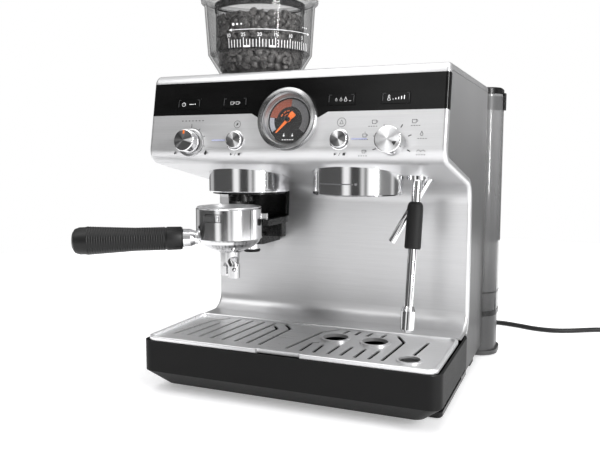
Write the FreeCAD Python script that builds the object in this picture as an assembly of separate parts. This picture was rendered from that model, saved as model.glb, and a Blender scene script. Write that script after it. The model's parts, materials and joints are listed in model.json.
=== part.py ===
import FreeCAD, Part
import math
import os
from FreeCAD import Vector as V

# Bean-to-cup style espresso machine with a built-in grinder.
# Frame: millimetres, +Z up, X to the right, Y away from the user.  The origin
# is on the table, on the middle plane, below the front of the splash panel.

# ---------------------------------------------------------------- dimensions
HALF_WIDTH = 155.0          # body, to the outside of the side panels
ROOF_Z = 333.0
BACK_Y = 109.0              # back of the body, where the tank begins
PANEL_ANGLE = 10.64         # lean of the control panel, degrees
PANEL_Y = -145.5            # control panel at PANEL_Z
PANEL_Z = 257.5
UNDER_Y = -28.0             # a point on the slanted underside of the head
UNDER_Z = 221.4
LIP_Y = -41.0               # front end of the splash panel's foot
LIP_Z = 60.5
SHEET = 2.0                 # pressed steel of the cover
FLANGE = 7.0                # depth of the cover's returned edge
SIDE_GAP = 0.4              # shadow gap between cover and side panel
BOTTOM_Z = 16.0             # bottom edge of the side panels

BAND_LOW, BAND_HIGH = 291.0, 324.0
KEY_XS = {"power_key": -110.0, "cups_key": -57.0, "infusion_key": 55.0, "heat_key": 107.0}
KEY_Z = 302.0
KEY_WIDTH, KEY_HEIGHT = 27.0, 11.0
BUTTON_XS = {"grind_button": -53.7, "brew_button": 55.6}
BUTTON_Z = 264.8
BUTTON_R, BUTTON_PROUD = 8.3, 5.0
DOSE = (-105.0, 263.0)      # (x, z) of the dose knob on the control panel
DOSE_R, DOSE_PROUD = 11.3, 14.0
SELECT = (105.8, 261.5)     # (x, z) of the selector knob
SELECT_R, SELECT_PROUD = 12.3, 17.0
SHAFT_R = 4.0
GAUGE = (2.3, 284.3)        # (x, z) of the pressure gauge
GAUGE_R = 30.3
GLASS_R = 25.45
NEEDLE_REST = -137.0        # degrees clockwise from straight up

GRINDER = (-80.0, -62.0)    # centre of the collar above the filter fork
HOPPER = (-78.0, -37.0)     # axis of hopper, burrs and grinder motor
CHUTE = (-80.0, -82.0)
GROUP = (52.0, -76.0)
COLLAR_Z = 210.5            # bottom of both chrome collars
SHELF_Z = 240.0             # underside of the chassis shelf above them
WAND = (110.8, -63.0, 232.0)
BALL_R = 7.6
SOCKET_R = 11.0
WAND_R = 4.6
WAND_END = (107.8, -86.0, 73.0)
SPOUT_TOP = (117.5, -42.5)   # where the hot water spout leaves the head
SPOUT_R = 3.9
FILTER = (-80.0, -110.0)    # axis of the filter holder where it rests
FILTER_TOP = 195.5
FILTER_R = 35.0
LUG_R = 40.5
HANDLE_AZIMUTH = 210.0
HANDLE_DROOP = 0.8
GRIP_FROM = 49.0            # where the grip starts, from the holder's own axis
ARM_LOW, ARM_TOP = 176.5, 183.2   # the fork's arms, under the holder's lugs
TAMPER = (-95.0, -28.0)

TRAY_HALF, TRAY_FRONT, TRAY_BACK = 157.8, -163.0, -12.0
TRAY_TOP, TRAY_LOW, TRAY_BOTTOM = 56.7, 24.6, 8.0
PLATE_Z = 57.0
HOSE_Z = 45.0
TANK_HALF, TANK_FRONT, TANK_BACK = 169.5, BACK_Y + 1.0, 171.0
LID_PIVOT = (174.4, 324.5)  # (y, z) of the tank lid's hinge
DOCK_TOP, TANK_TOP = 50.0, 324.5
OUTLET = (0.0, 140.0)       # axis of the tank's valve

CORD_D = 6.4
CORD_Z = CORD_D / 2
CORD_EXIT = (96.0, 203.0, 17.0)
CORD_ROUTE = [
    (96.0, 203.0, 17.0), (96.0, 222.0, 15.0), (99.0, 243.0, 6.8), (109.0, 263.0, CORD_Z),
    (129.0, 279.0, CORD_Z), (156.0, 284.0, CORD_Z), (183.0, 277.0, CORD_Z),
    (207.0, 266.0, CORD_Z), (233.0, 264.0, CORD_Z), (258.0, 274.0, CORD_Z),
    (280.0, 289.0, CORD_Z), (303.0, 300.0, CORD_Z), (328.0, 303.0, CORD_Z),
    (352.0, 303.0, CORD_Z),
]
COIL = (352.0, 338.2)       # axis of the put-away coil
COIL_IN, COIL_OUT, COIL_H = 28.6, 41.8, 13.0
CORD_END = (390.2, 339.0, 9.6)   # where the lead leaves the coil for the plug
PLUG_AT = (393.0, 378.0)    # back of the plug's body
PLUG_R = 18.0

X_AXIS, Y_AXIS, Z_AXIS = V(1, 0, 0), V(0, 1, 0), V(0, 0, 1)
ANGLE = math.radians(PANEL_ANGLE)
NORMAL = V(0, -math.cos(ANGLE), math.sin(ANGLE))     # out of the control panel


# ------------------------------------------------------------------- helpers
def box(x0, x1, y0, y1, z0, z1):
    return Part.makeBox(x1 - x0, y1 - y0, z1 - z0, V(x0, y0, z0))


def rounded_box(x0, x1, y0, y1, z0, z1, radius):
    """A box with rounded upright edges."""
    block = box(x0, x1, y0, y1, z0, z1)
    upright = [e for e in block.Edges if abs(e.tangentAt(e.FirstParameter).z) > 0.9]
    return block.makeFillet(radius, upright)


def rod(x, y, z0, z1, radius):
    return Part.makeCylinder(radius, z1 - z0, V(x, y, z0), Z_AXIS)


def ring(x, y, z0, z1, outer, inner):
    return rod(x, y, z0, z1, outer).cut(rod(x, y, z0 - 1, z1 + 1, inner))


def fuse(first, *others):
    return first.fuse(list(others)).removeSplitter()


def panel_point(x, z, out=0.0):
    """The point of the control panel at x and height z, moved out of it."""
    y = PANEL_Y + (z - PANEL_Z) * math.tan(ANGLE)
    return V(x, y, z) + NORMAL * out


def panel_rod(x, z, out0, out1, radius):
    return Part.makeCylinder(radius, out1 - out0, panel_point(x, z, out0), NORMAL)


def panel_box(x, z, width, height, out0, out1):
    """A box lying along the control panel, centred on (x, z)."""
    corner = V(-width / 2, 0, -height / 2)
    block = Part.makeBox(width, out1 - out0, height, corner)
    block.rotate(V(0, 0, 0), X_AXIS, -PANEL_ANGLE)
    block.translate(panel_point(x, z, out1))
    return block


def turned(profile, x, y):
    """Turn an (r, z) outline about the upright axis through (x, y)."""
    points = [V(r, 0, z) for r, z in profile]
    face = Part.Face(Part.makePolygon(points + points[:1]))
    solid = face.revolve(V(0, 0, 0), Z_AXIS, 360)
    solid.translate(V(x, y, 0))
    return solid


def line_meet(p, d, q, e):
    """Where the line through p along d meets the line through q along e."""
    det = d[0] * e[1] - d[1] * e[0]
    t = ((q[0] - p[0]) * e[1] - (q[1] - p[1]) * e[0]) / det
    return (p[0] + t * d[0], p[1] + t * d[1])


def unit(a, b):
    length = math.hypot(b[0] - a[0], b[1] - a[1])
    return ((b[0] - a[0]) / length, (b[1] - a[1]) / length)


def moved_path(points, radii, inset):
    """The (y, z) path moved to its left, with its bend radii to match."""
    runs = [unit(a, b) for a, b in zip(points, points[1:])]
    starts = [(a[0] - d[1] * inset, a[1] + d[0] * inset) for a, d in zip(points, runs)]
    corners, new_radii = [starts[0]], []
    for i in range(1, len(runs)):
        corners.append(line_meet(starts[i - 1], runs[i - 1], starts[i], runs[i]))
        turn = runs[i - 1][0] * runs[i][1] - runs[i - 1][1] * runs[i][0]
        new_radii.append(radii[i - 1] - math.copysign(inset, turn))
    last = points[-1]
    corners.append((last[0] - runs[-1][1] * inset, last[1] + runs[-1][0] * inset))
    return corners, new_radii


def path_edges(points, radii, x):
    """Straight runs and tangent arcs through (y, z) corners, in the plane at x."""
    edges, start = [], points[0]
    for i, radius in enumerate(radii):
        corner = points[i + 1]
        back = unit(corner, points[i])
        ahead = unit(corner, points[i + 2])
        half = math.acos(back[0] * ahead[0] + back[1] * ahead[1]) / 2
        reach = radius / math.tan(half)
        bisector = unit((0, 0), (back[0] + ahead[0], back[1] + ahead[1]))
        depth = radius / math.sin(half) - radius
        enter = (corner[0] + back[0] * reach, corner[1] + back[1] * reach)
        leave = (corner[0] + ahead[0] * reach, corner[1] + ahead[1] * reach)
        middle = (corner[0] + bisector[0] * depth, corner[1] + bisector[1] * depth)
        edges.append(Part.LineSegment(V(x, *start), V(x, *enter)).toShape())
        edges.append(Part.Arc(V(x, *enter), V(x, *middle), V(x, *leave)).toShape())
        start = leave
    edges.append(Part.LineSegment(V(x, *start), V(x, *points[-1])).toShape())
    return edges


def closed_face(edges, tail, x):
    """Close a run of edges with straight lines through the tail's points."""
    first = edges[0].Vertexes[0].Point
    last = edges[-1].Vertexes[-1].Point
    stops = [last] + [V(x, *p) for p in tail] + [first]
    closing = [Part.LineSegment(a, b).toShape() for a, b in zip(stops, stops[1:])]
    return Part.Face(Part.Wire(edges + closing))


def body_path():
    """The outside of the steel cover, from the back of the roof to the lip."""
    down = (-math.sin(ANGLE), -math.cos(ANGLE))
    under = (-math.cos(ANGLE), math.sin(ANGLE))
    panel = (PANEL_Y, PANEL_Z)
    shelf = (UNDER_Y, UNDER_Z)
    brow = line_meet(panel, down, (0, ROOF_Z), (1, 0))
    chin = line_meet(panel, down, shelf, under)
    throat = line_meet(shelf, under, (0, 0), (0, 1))
    points = [(BACK_Y, ROOF_Z), brow, chin, throat, (0, LIP_Z), (LIP_Y, LIP_Z)]
    return points, [10.0, 15.0, 22.0, 18.0]


def strip(inset, x0, x1):
    """The cover's outline as a sheet of the given depth, from x0 to x1."""
    points, radii = body_path()
    inner, inner_radii = moved_path(points, radii, inset)
    outside = path_edges(points, radii, x0)
    inside = path_edges(inner, inner_radii, x0)
    ends = [
        Part.LineSegment(V(x0, *points[0]), V(x0, *inner[0])).toShape(),
        Part.LineSegment(V(x0, *points[-1]), V(x0, *inner[-1])).toShape(),
    ]
    wire = Part.Wire(Part.sortEdges(outside + inside + ends)[0])
    return Part.Face(wire).extrude(V(x1 - x0, 0, 0))


def underside_z(y):
    return UNDER_Z + (UNDER_Y - y) * math.tan(ANGLE)


# ------------------------------------------------------------ body and covers
def pressed_cover():
    """The bent sheet with its returned edges, before anything is cut in it."""
    half = HALF_WIDTH
    wall = 1.8
    sheet = fuse(
        strip(SHEET, -half, half),
        strip(FLANGE, -half, -half + wall),
        strip(FLANGE, half - wall, half),
    )
    rims = []
    for edge in sheet.Edges:
        bounds = edge.BoundBox
        flat = abs(bounds.XMax - bounds.XMin) < 0.01 and abs(abs(bounds.XMax) - half) < 0.01
        if flat and on_outside(edge):
            rims.append(edge)
    return sheet.makeFillet(4.0, rims)


def on_outside(edge):
    """Whether an edge lies on the outermost line of the cover."""
    points, radii = body_path()
    outline = Part.Wire(path_edges(points, radii, 0))
    middle = edge.valueAt((edge.FirstParameter + edge.LastParameter) / 2)
    probe = Part.Vertex(V(0, middle.y, middle.z))
    return probe.distToShape(outline)[0] < 0.01


def band_region():
    """The rebate for the glossy band: shallow in front, right round both corners."""
    depth, corner = 1.2, 4.0
    middle = (BAND_LOW + BAND_HIGH) / 2
    height = (BAND_HIGH - BAND_LOW) / math.cos(ANGLE)
    region = panel_box(0, middle, 2 * HALF_WIDTH + 2, height, -depth, 3)
    ends = [
        panel_box(side * (HALF_WIDTH - corner / 2 + 0.5), middle, corner + 1, height, -FLANGE - 1, 3)
        for side in (-1, 1)
    ]
    wide, narrow = 42, 31
    dip = [(-wide, BAND_LOW + 1), (wide, BAND_LOW + 1), (narrow, BAND_LOW - 5), (-narrow, BAND_LOW - 5)]
    points = [panel_point(GAUGE[0] + x, z, -depth) for x, z in dip]
    face = Part.Face(Part.makePolygon(points + points[:1]))
    return fuse(region, face.extrude(NORMAL * (depth + 3)), *ends)


def cover_holes():
    holes = [panel_rod(*GAUGE, -12, 6, 28.5)]
    holes += [panel_rod(x, BUTTON_Z, -12, 6, BUTTON_R + 0.3) for x in BUTTON_XS.values()]
    holes += [panel_rod(*spot, -12, 6, SHAFT_R + 0.1) for spot in (DOSE, SELECT)]
    holes.append(rod(*GRINDER, 205, 250, 45.0))
    holes.append(rod(*GROUP, 205, 250, 47.0))
    holes.append(rod(WAND[0], WAND[1], 205, 250, SOCKET_R + 0.5))
    holes.append(rod(*SPOUT_TOP, 205, 250, 6.6))
    holes.append(rod(*HOPPER, 325, 340, 46.0))
    return holes


def front_cover_and_band():
    pressed = pressed_cover()
    region = band_region()
    holes = cover_holes()
    keys = [panel_box(x, KEY_Z, KEY_WIDTH, KEY_HEIGHT, -10, 4) for x in KEY_XS.values()]
    over_tray = box(-HALF_WIDTH - 1, HALF_WIDTH + 1, LIP_Y - 5, -9, 50, LIP_Z - SHEET)
    cover = pressed.cut([region, over_tray] + holes + keys)
    band = pressed.common(region)
    return cover, band.cut(keys + holes)


def side_panel(side):
    """A flat steel side with the outline of the body, inside the cover's edge."""
    points, radii = body_path()
    inner, inner_radii = moved_path(points, radii, FLANGE + SIDE_GAP)
    inner[0] = (BACK_Y - 2, inner[0][1])
    x0 = HALF_WIDTH - 2 if side > 0 else -HALF_WIDTH
    face = closed_face(
        path_edges(inner, inner_radii, x0), [(LIP_Y, BOTTOM_Z), (BACK_Y - 2, BOTTOM_Z)], x0
    )
    panel = face.extrude(V(2, 0, 0))
    return panel.cut(box(x0 - 1, x0 + 3, LIP_Y - 5, -9.5, 0, 90))


def rear_panel():
    panel = box(-152.5, 152.5, BACK_Y - 4, BACK_Y - 2, BOTTOM_Z, 330.5)
    vents = [
        box(-120 + 12 * i, -114 + 12 * i, BACK_Y - 5, BACK_Y - 1, 250, 300) for i in range(21)
    ]
    return panel.cut(vents + [hose_way(4.0)])


def cup_shelf():
    """A slotted warming plate on the roof, beside and behind the hopper."""
    shelf = rounded_box(-6, 146, -108, 92, 333.0, 335.2, 10)
    slots = [rounded_box(12 + 16 * i, 18 + 16 * i, -88, 72, 330, 338, 2.9) for i in range(8)]
    return shelf.cut(slots)


def base_plate():
    floor = rounded_box(-150, 150, -8.5, BACK_Y - 0.5, 8.5, 15.5, 4)
    rails = []
    for side in (-1, 1):
        inner, outer = sorted((side * 124.0, side * 151.0))
        rails.append(rounded_box(inner, outer, -118, -8.5, 3.0, 7.4, 4))
        rails.append(box(inner, outer, -11.0, -8.5, 3.0, 15.5))
        rails.append(box(inner, outer, -8.6, 20, 3.0, 8.6))
    return fuse(floor, *rails)


def feet():
    pads = []
    for x in (-138.0, 138.0):
        pads.append(rounded_box(x - 11, x + 11, -114, -78, 0, 3.0, 5))
        pads.append(rounded_box(x - 11, x + 11, 60, 90, 0, 8.5, 5))
    return Part.makeCompound(pads)


def rear_dock():
    """The plinth that the tank stands on, with its valve seat."""
    flange = rounded_box(-171.5, 171.5, BACK_Y - 0.3, 173, 1.0, 6.0, 24)
    plinth = rounded_box(-168.5, 168.5, BACK_Y + 0.2, 171, 6.0, DOCK_TOP, 24)
    body = fuse(flange, plinth)
    well_floor = DOCK_TOP - 9
    well = rounded_box(-60, 60, BACK_Y + 9, 164, well_floor, DOCK_TOP + 10, 10)
    seat = ring(*OUTLET, well_floor, DOCK_TOP - 1, 15, 11)
    return fuse(body.cut(well), seat).cut(hose_way(3.1))


def chassis():
    """The folded steel frame that everything inside is screwed to."""
    rear = BACK_Y - 7
    floor = box(-148, 148, 8, rear + 2, 15.5, 17.5)
    back = box(-148, 148, rear, rear + 2, 17.5, 325)
    shelf = box(-148, 148, -110, rear, SHELF_Z, SHELF_Z + 2)
    cheeks = [box(x, x + 2, -100, rear, SHELF_Z + 2, 300) for x in (-148.0, 146.0)]
    posts = [box(x, x + 2, 30, rear, 17.5, SHELF_Z) for x in (-148.0, 146.0)]
    frame = fuse(floor, back, shelf, *cheeks, *posts)
    cuts = [
        rod(*GROUP, 238, 244, 37.5), rod(*HOPPER, 238, 244, 28.0), rod(*CHUTE, 238, 244, 11.5),
        rod(WAND[0], WAND[1], 238, 244, SOCKET_R + 2), rod(*SPOUT_TOP, 238, 244, 5.0),
        rod(60, 38, 238, 244, 9.0), hose_way(4.5),
    ]
    return frame.cut(cuts)


def hose_way(radius):
    """The passage for the suction hose, from the tank seat into the body."""
    return Part.makeCylinder(radius, 36, V(0, BACK_Y - 10, HOSE_Z), Y_AXIS)


# ------------------------------------------------------------ control panel
def key_cap(x):
    clearance = 0.3
    cap = panel_box(x, KEY_Z, KEY_WIDTH - 2 * clearance, KEY_HEIGHT - 2 * clearance, -5.0, 0.5)
    return cap


def push_button(x):
    button = panel_rod(x, BUTTON_Z, -7.0, BUTTON_PROUD, BUTTON_R)
    front = panel_point(x, BUTTON_Z, BUTTON_PROUD)
    rim = [e for e in button.Edges if e.CenterOfMass.sub(front).Length < 0.5]
    return button.makeFillet(0.8, rim[:1])


def knob(spot, radius, proud):
    """A round knob with a domed edge, on a shaft through the panel."""
    centre = panel_point(*spot, proud)
    body = panel_rod(*spot, 0.4, proud, radius)
    rim = [e for e in body.Edges if e.CenterOfMass.sub(centre).Length < 0.5]
    body = body.makeFillet(1.2, rim[:1])
    shaft = panel_rod(*spot, -16, 1, SHAFT_R)
    return fuse(body, shaft)


def gauge_bezel():
    proud = 6.5
    flange = panel_rod(*GAUGE, 0, proud, GAUGE_R)
    sleeve = panel_rod(*GAUGE, -3, 0, 28.4)
    outer = [
        e for e in flange.Edges
        if e.CenterOfMass.sub(panel_point(*GAUGE, proud)).Length < 0.5 and e.Length > 1
    ]
    rounded = flange.makeFillet(1.6, outer[:1])
    return fuse(rounded, sleeve).cut(panel_rod(*GAUGE, -4, 8, GLASS_R + 0.05))


def gauge_lens():
    return panel_rod(*GAUGE, 4.2, 5.4, GLASS_R)


def gauge_dial():
    """The dial plate on the closed can of the instrument."""
    dial = panel_rod(*GAUGE, -3, -1.6, GLASS_R)
    can = panel_rod(*GAUGE, -26, -3, 28.4).cut(panel_rod(*GAUGE, -24, -3, 26.4))
    seat = panel_rod(*GAUGE, -4, -3, 28.4).cut(panel_rod(*GAUGE, -5, -2, 20.0))
    return fuse(dial, can, seat).cut(panel_rod(*GAUGE, -5, 1, 1.4))


def gauge_needle():
    """A pointer at rest against its stop, lower left, with a short tail."""
    hub = panel_rod(*GAUGE, 0.2, 2.0, 2.6)
    pin = panel_rod(*GAUGE, -6.0, 0.3, 1.3)
    outline = [(1.6, 0), (0.5, 17.5), (-0.5, 17.5), (-1.6, 0), (-3.0, -6.0), (-2.6, -8.5),
               (2.6, -8.5), (3.0, -6.0)]
    points = [V(x, 0, z) for x, z in outline]
    arm = Part.Face(Part.makePolygon(points + points[:1])).extrude(V(0, -0.9, 0))
    arm.rotate(V(0, 0, 0), Y_AXIS, NEEDLE_REST)
    arm.rotate(V(0, 0, 0), X_AXIS, -PANEL_ANGLE)
    arm.translate(panel_point(*GAUGE, 0.6))
    return fuse(hub, pin, arm)


def control_board():
    board = panel_box(-90, 290, 104, 54, -24.0, -22.4)
    return board.cut([panel_rod(*DOSE, -30, -10, 6.0)])


# ------------------------------------------------------------------- grinder
def hopper():
    """A clear funnel with a plain neck that turns in the roof."""
    outside = [
        (22, 322), (38, 322), (38, 333.5), (49.5, 333.5), (49.5, 337.5), (45.5, 341), (58.5, 362),
        (62.2, 417), (65.6, 419.2), (65.6, 421),
    ]
    inside = [
        (61.6, 421), (59.8, 417.6), (56.1, 363), (43, 342.6), (35, 336.5), (24.5, 326), (22, 326),
    ]
    profile = outside + inside
    return turned(profile, *HOPPER)


def hopper_lid():
    profile = [(0, 417.4), (56, 417.4), (56, 421.4), (66.5, 421.4), (66.5, 424), (62, 427),
               (12, 429), (12, 436), (10, 438), (0, 438)]
    return turned(profile, *HOPPER)


def coffee_beans():
    """The bulk of the beans, heaped a little in the middle."""
    profile = [(0, 330), (22, 330), (30, 337.5), (41, 344.4), (54.5, 365), (57.2, 396),
               (30, 401), (0, 403)]
    return turned(profile, *HOPPER)


def burr_housing():
    profile = [(28, 292), (41, 292), (41, 331), (38.6, 331), (38.6, 297), (28, 297)]
    cup = turned(profile, *HOPPER)
    spout = box(CHUTE[0] - 9, CHUTE[0] + 9, -92, -70, 296, 314)
    hole = box(CHUTE[0] - 7, CHUTE[0] + 7, -90, -60, 298, 312)
    drop = rod(*CHUTE, 290, 305, 7.2)
    inside = rod(*HOPPER, 297, 340, 38.6)
    return fuse(cup, spout.cut(inside)).cut([hole, drop])


def upper_burr():
    profile = [(21, 314), (35.8, 314), (35.8, 321.6), (21.5, 321.6), (18, 318), (18, 314)]
    return turned(profile, *HOPPER)


def lower_burr():
    """The cone burr on its drive shaft."""
    profile = [(0, 293), (5, 293), (5, 299), (26, 299), (26, 304), (16.5, 313.4), (10, 321), (0, 323)]
    return turned(profile, *HOPPER)


def grinder_motor():
    profile = [(0, 239), (24, 239), (27, 242), (27, 285), (24, 290), (6.2, 290), (6.2, 292.7), (0, 292.7)]
    return turned(profile, *HOPPER)


def grind_chute():
    tube = rod(*CHUTE, 200.8, 291.8, 11.0).cut(rod(*CHUTE, 200, 295, 8.5))
    brim = rod(*CHUTE, 200.8, 206, 14.0).cut(rod(*CHUTE, 200, 207, 11.0))
    return fuse(tube, brim)


def grinder_collar():
    collar = ring(*GRINDER, COLLAR_Z, SHELF_Z - 1.5, 44.7, 40.8)
    bottom = [
        e for e in collar.Edges
        if abs(e.BoundBox.ZMax - COLLAR_Z) < 0.01 and e.BoundBox.XLength > 85
    ]
    return collar.makeFillet(1.2, bottom)


def fork_cradle():
    """Shroud behind the grounds outlet, two arms for the filter's lugs, tamper dock."""
    x, y = GRINDER
    slot = 36.0
    shroud = turned(
        [(39.9, ARM_LOW), (43.6, ARM_LOW), (45.0, 202), (45.0, 207.5), (41.2, 207.5), (41.2, 202)], x, y)
    front = box(x - 60, x + 60, y - 60, y, 170, 230)
    open_front = box(x - 60, x + 60, y - 60, y + 22, ARM_TOP, 230)
    ceiling = rod(x, y, 208.5, COLLAR_Z + 6, 40.6).cut(rod(*CHUTE, 200, 220, 14.4))
    brim = ring(x, y, 206, COLLAR_Z, 45.0, 40.0).cut(open_front)
    ledge = ring(x, y, ARM_LOW, ARM_TOP, 43.6, slot).cut(front)
    arms = [
        rounded_box(*sorted((x + side * slot, x + side * 43.6)), -103, y + 0.5, ARM_LOW, ARM_TOP, 1.5)
        for side in (-1, 1)
    ]
    spine = box(x - 24, x + 14, -20.5, -0.4, 158, 196)
    cradle = fuse(shroud.cut(fuse(front, open_front)), ledge, ceiling, brim, spine, *arms)
    dock = rounded_box(-121.5, -68.5, -54.4, -0.4, 149.5, 161.6, 6)
    bracket = rounded_box(-112, -66, -45, -0.4, 161.6, ARM_LOW, 4)
    block = rounded_box(-90, -47, -45, -35, 158.5, ARM_LOW, 2)
    pocket = rod(*TAMPER, 140, 159.7, 24.9)
    return fuse(cradle, dock, bracket, block).cut(pocket)


# --------------------------------------------------------------------- group
def group_collar():
    """Locking ring: three lug ways in a lip, and a groove above it."""
    collar = turned(
        [(36.6, COLLAR_Z), (45.6, COLLAR_Z), (46.8, COLLAR_Z + 1.2), (46.8, SHELF_Z - 0.2),
         (41.6, SHELF_Z - 0.2), (41.6, 218.0), (36.6, 218.0)], *GROUP)
    ways = []
    for azimuth in (30, 150, 270):
        way = box(30, 41.2, -8.6, 8.6, COLLAR_Z - 1, 220)
        way.rotate(V(0, 0, 0), Z_AXIS, azimuth)
        way.translate(V(GROUP[0], GROUP[1], 0))
        ways.append(way)
    return collar.cut(ways)


def group_head():
    profile = [(0, 226.4), (41.4, 226.4), (41.4, 233), (37.3, 236), (37.3, 260), (0, 260)]
    return turned(profile, *GROUP)


def group_seal():
    return ring(*GROUP, 220.4, 226.4, 35.0, 29.8)


def shower_screen():
    disc = rod(*GROUP, 222.0, 223.4, 29.4)
    screw = rod(*GROUP, 220.8, 222.0, 4.5)
    spacer = rod(*GROUP, 223.4, 226.4, 20.0)
    return fuse(disc, screw, spacer)


def boiler():
    shell = rod(GROUP[0], -70, 260, 318, 37.5)
    top = [e for e in shell.Edges if e.BoundBox.ZMin > 317]
    rim = ring(GROUP[0], -70, 284, 289, 41.0, 37.5)
    return fuse(shell.makeFillet(8, top), rim)


def pump():
    body = rod(60, 50, 30, 96, 24)
    head = rod(60, 50, 96, 122, 13)
    nozzle = rod(60, 50, 122, 134, 4)
    plate = box(34, 86, 24, 76, 17.5, 30)
    return fuse(body, head, nozzle, plate)


def steam_valve():
    block = box(95, 128, -84, -50, 252, 284)
    seat = rod(WAND[0], WAND[1], 242, 252, 15.5)
    legs = [box(x, x + 4, -84, -50, 242, 256) for x in (91.0, 128.0)]
    pocket = Part.makeSphere(BALL_R + 0.6, V(*WAND))
    return fuse(block, seat, *legs).cut(pocket)


def pipe_run(points, radius, bore=0.0):
    """A tube along straight runs with tangent arcs; its radii are printed."""
    corners = [V(*p) for p in points]
    edges, start, radii = [], corners[0], []
    for a, b, c in zip(corners, corners[1:], corners[2:]):
        back, ahead = a.sub(b), c.sub(b)
        shorter = min(back.Length, ahead.Length)
        half_turn = (math.pi - back.getAngle(ahead)) / 2
        bend = 0.45 * shorter / math.tan(half_turn)
        radii.append(bend)
        back.normalize()
        ahead.normalize()
        enter, leave = b + back * (0.45 * shorter), b + ahead * (0.45 * shorter)
        bisector = (back + ahead).normalize()
        middle = b + bisector * (bend / math.cos(half_turn) - bend)
        edges.append(Part.LineSegment(start, enter).toShape())
        edges.append(Part.Arc(enter, middle, leave).toShape())
        start = leave
    edges.append(Part.LineSegment(start, corners[-1]).toShape())
    path = Part.Wire(edges)
    heading = corners[1].sub(corners[0])
    section = Part.Wire(Part.makeCircle(radius, corners[0], heading))
    tube = path.makePipeShell([section], True, True)
    if bore:
        hole = Part.Wire(Part.makeCircle(bore, corners[0], heading))
        tube = tube.cut(path.makePipeShell([hole], True, True))
    return tube, path.Length, radii


def hot_water_spout():
    start, end = V(*SPOUT_TOP, 241.5), V(81.7, -50, 159.4)
    shoulder = V(*SPOUT_TOP, 226)
    axis = end.sub(shoulder)
    drop = Part.makeCylinder(SPOUT_R, axis.Length, shoulder, axis)
    neck = Part.makeCylinder(SPOUT_R, start.z - shoulder.z, shoulder, Z_AXIS)
    elbow = Part.makeSphere(SPOUT_R, shoulder)
    mouth = Part.makeCylinder(SPOUT_R - 0.8, 30, end, axis * -1)
    bush = Part.makeCylinder(6.4, 7, V(*SPOUT_TOP, 224.5), Z_AXIS)
    return fuse(drop, neck, elbow, bush).cut(mouth)


def water_hoses():
    """Suction hose from the tank seat to the pump, pressure hose up to the boiler."""
    suction, _, _ = pipe_run(
        [(0, 125.2, HOSE_Z), (0, 94, HOSE_Z), (3, 70, HOSE_Z), (15, 54, HOSE_Z), (35.0, 51, HOSE_Z)], 3.0)
    lift, _, _ = pipe_run(
        [(60, 50, 134.2), (62, 47, 175), (58, 42, 222), (60, 36, 260), (57, 10, 284), (52, -28.6, 287)],
        3.0)
    return Part.makeCompound([suction, lift])


# --------------------------------------------------------------- steam wand
def wand_along(t0, t1, radius, radius1=None):
    """A length of the wand's axis; t is the distance from the ball in mm."""
    axis = V(*WAND_END).sub(V(*WAND)).normalize()
    start = V(*WAND) + axis * t0
    if radius1 is None:
        return Part.makeCylinder(radius, t1 - t0, start, axis)
    return Part.makeCone(radius, radius1, t1 - t0, start, axis)


def wand_socket():
    """The ring, all but flush with the underside, that turns and carries the ball."""
    x, y, z = WAND
    body = rod(x, y, 226.2, SHELF_Z - 0.4, SOCKET_R)
    return body.cut([Part.makeSphere(BALL_R + 0.3, V(x, y, z)), rod(x, y, z + 3, 250, BALL_R), bell()])


def bell():
    x, y, _ = WAND
    return Part.makeCone(8.4, 6.0, 6.0, V(x, y, 223.4), Z_AXIS)


def wand_tube():
    ball = Part.makeSphere(BALL_R, V(*WAND))
    tube = wand_along(0, 142.5, WAND_R)
    bore = wand_along(14, 150, 3.0)
    return fuse(ball, tube).cut(bore)


def turned_along(start, axis, outline):
    """Turn an outline of (distance, radius) points about an axis."""
    points = [V(r, 0, t) for t, r in outline]
    solid = Part.Face(Part.makePolygon(points + points[:1])).revolve(V(0, 0, 0), Z_AXIS, 360)
    solid.Placement = FreeCAD.Placement(start, FreeCAD.Rotation(Z_AXIS, axis))
    return solid


def wand_grip():
    bore = WAND_R + 0.02
    axis = V(*WAND_END).sub(V(*WAND)).normalize()
    outline = [(29.0, bore), (29.0, 5.4), (30.2, 6.8), (32.4, 7.7), (36.0, 8.1), (74.6, 8.3),
               (76.0, 7.8), (76.6, 6.6), (76.6, bore)]
    return turned_along(V(*WAND), axis, outline)


def wand_tip():
    neck = wand_along(134.0, 139.0, 5.6, 7.2)
    body = wand_along(139.0, 157.6, 7.2)
    nose = wand_along(157.6, 160.4, 7.2, 5.0)
    socket = wand_along(130, 142.6, WAND_R + 0.02)
    bores = []
    axis = V(*WAND_END).sub(V(*WAND)).normalize()
    side = axis.cross(X_AXIS).normalize()
    for turn in range(4):
        spread = side * 3.0
        spread = FreeCAD.Rotation(axis, 45 + 90 * turn).multVec(spread)
        start = V(*WAND) + axis * 150.0 + spread
        bores.append(Part.makeCylinder(0.6, 15, start, axis))
    return fuse(neck, body, nose).cut([socket, wand_along(142, 152, 4.0)] + bores)


# -------------------------------------------------------------- drip tray
def drip_tray():
    half, front, back = TRAY_HALF, TRAY_FRONT, TRAY_BACK
    upper = rounded_box(-half, half, front, back, TRAY_LOW, TRAY_TOP, 12)
    top_section = rounded_box(-half, half, front, back, TRAY_LOW, TRAY_LOW + 1, 12)
    low_section = rounded_box(-139.5, 139.5, -146.5, back, TRAY_BOTTOM - 1, TRAY_BOTTOM, 10)
    wires = [
        [f for f in low_section.Faces if f.CenterOfMass.z > TRAY_BOTTOM - 0.01][0].OuterWire,
        [f for f in top_section.Faces if f.CenterOfMass.z < TRAY_LOW + 0.01][0].OuterWire,
    ]
    hull = fuse(upper, Part.makeLoft(wires, True, True))
    wall = 2.6
    bowl = rounded_box(-half + wall, half - wall, front + wall, back - wall, 26.0, 90, 9.4)
    sump = rounded_box(-136, 136, -142, back - wall, TRAY_BOTTOM + 2.6, 30, 8)
    return hull.cut([bowl, sump])


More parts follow.
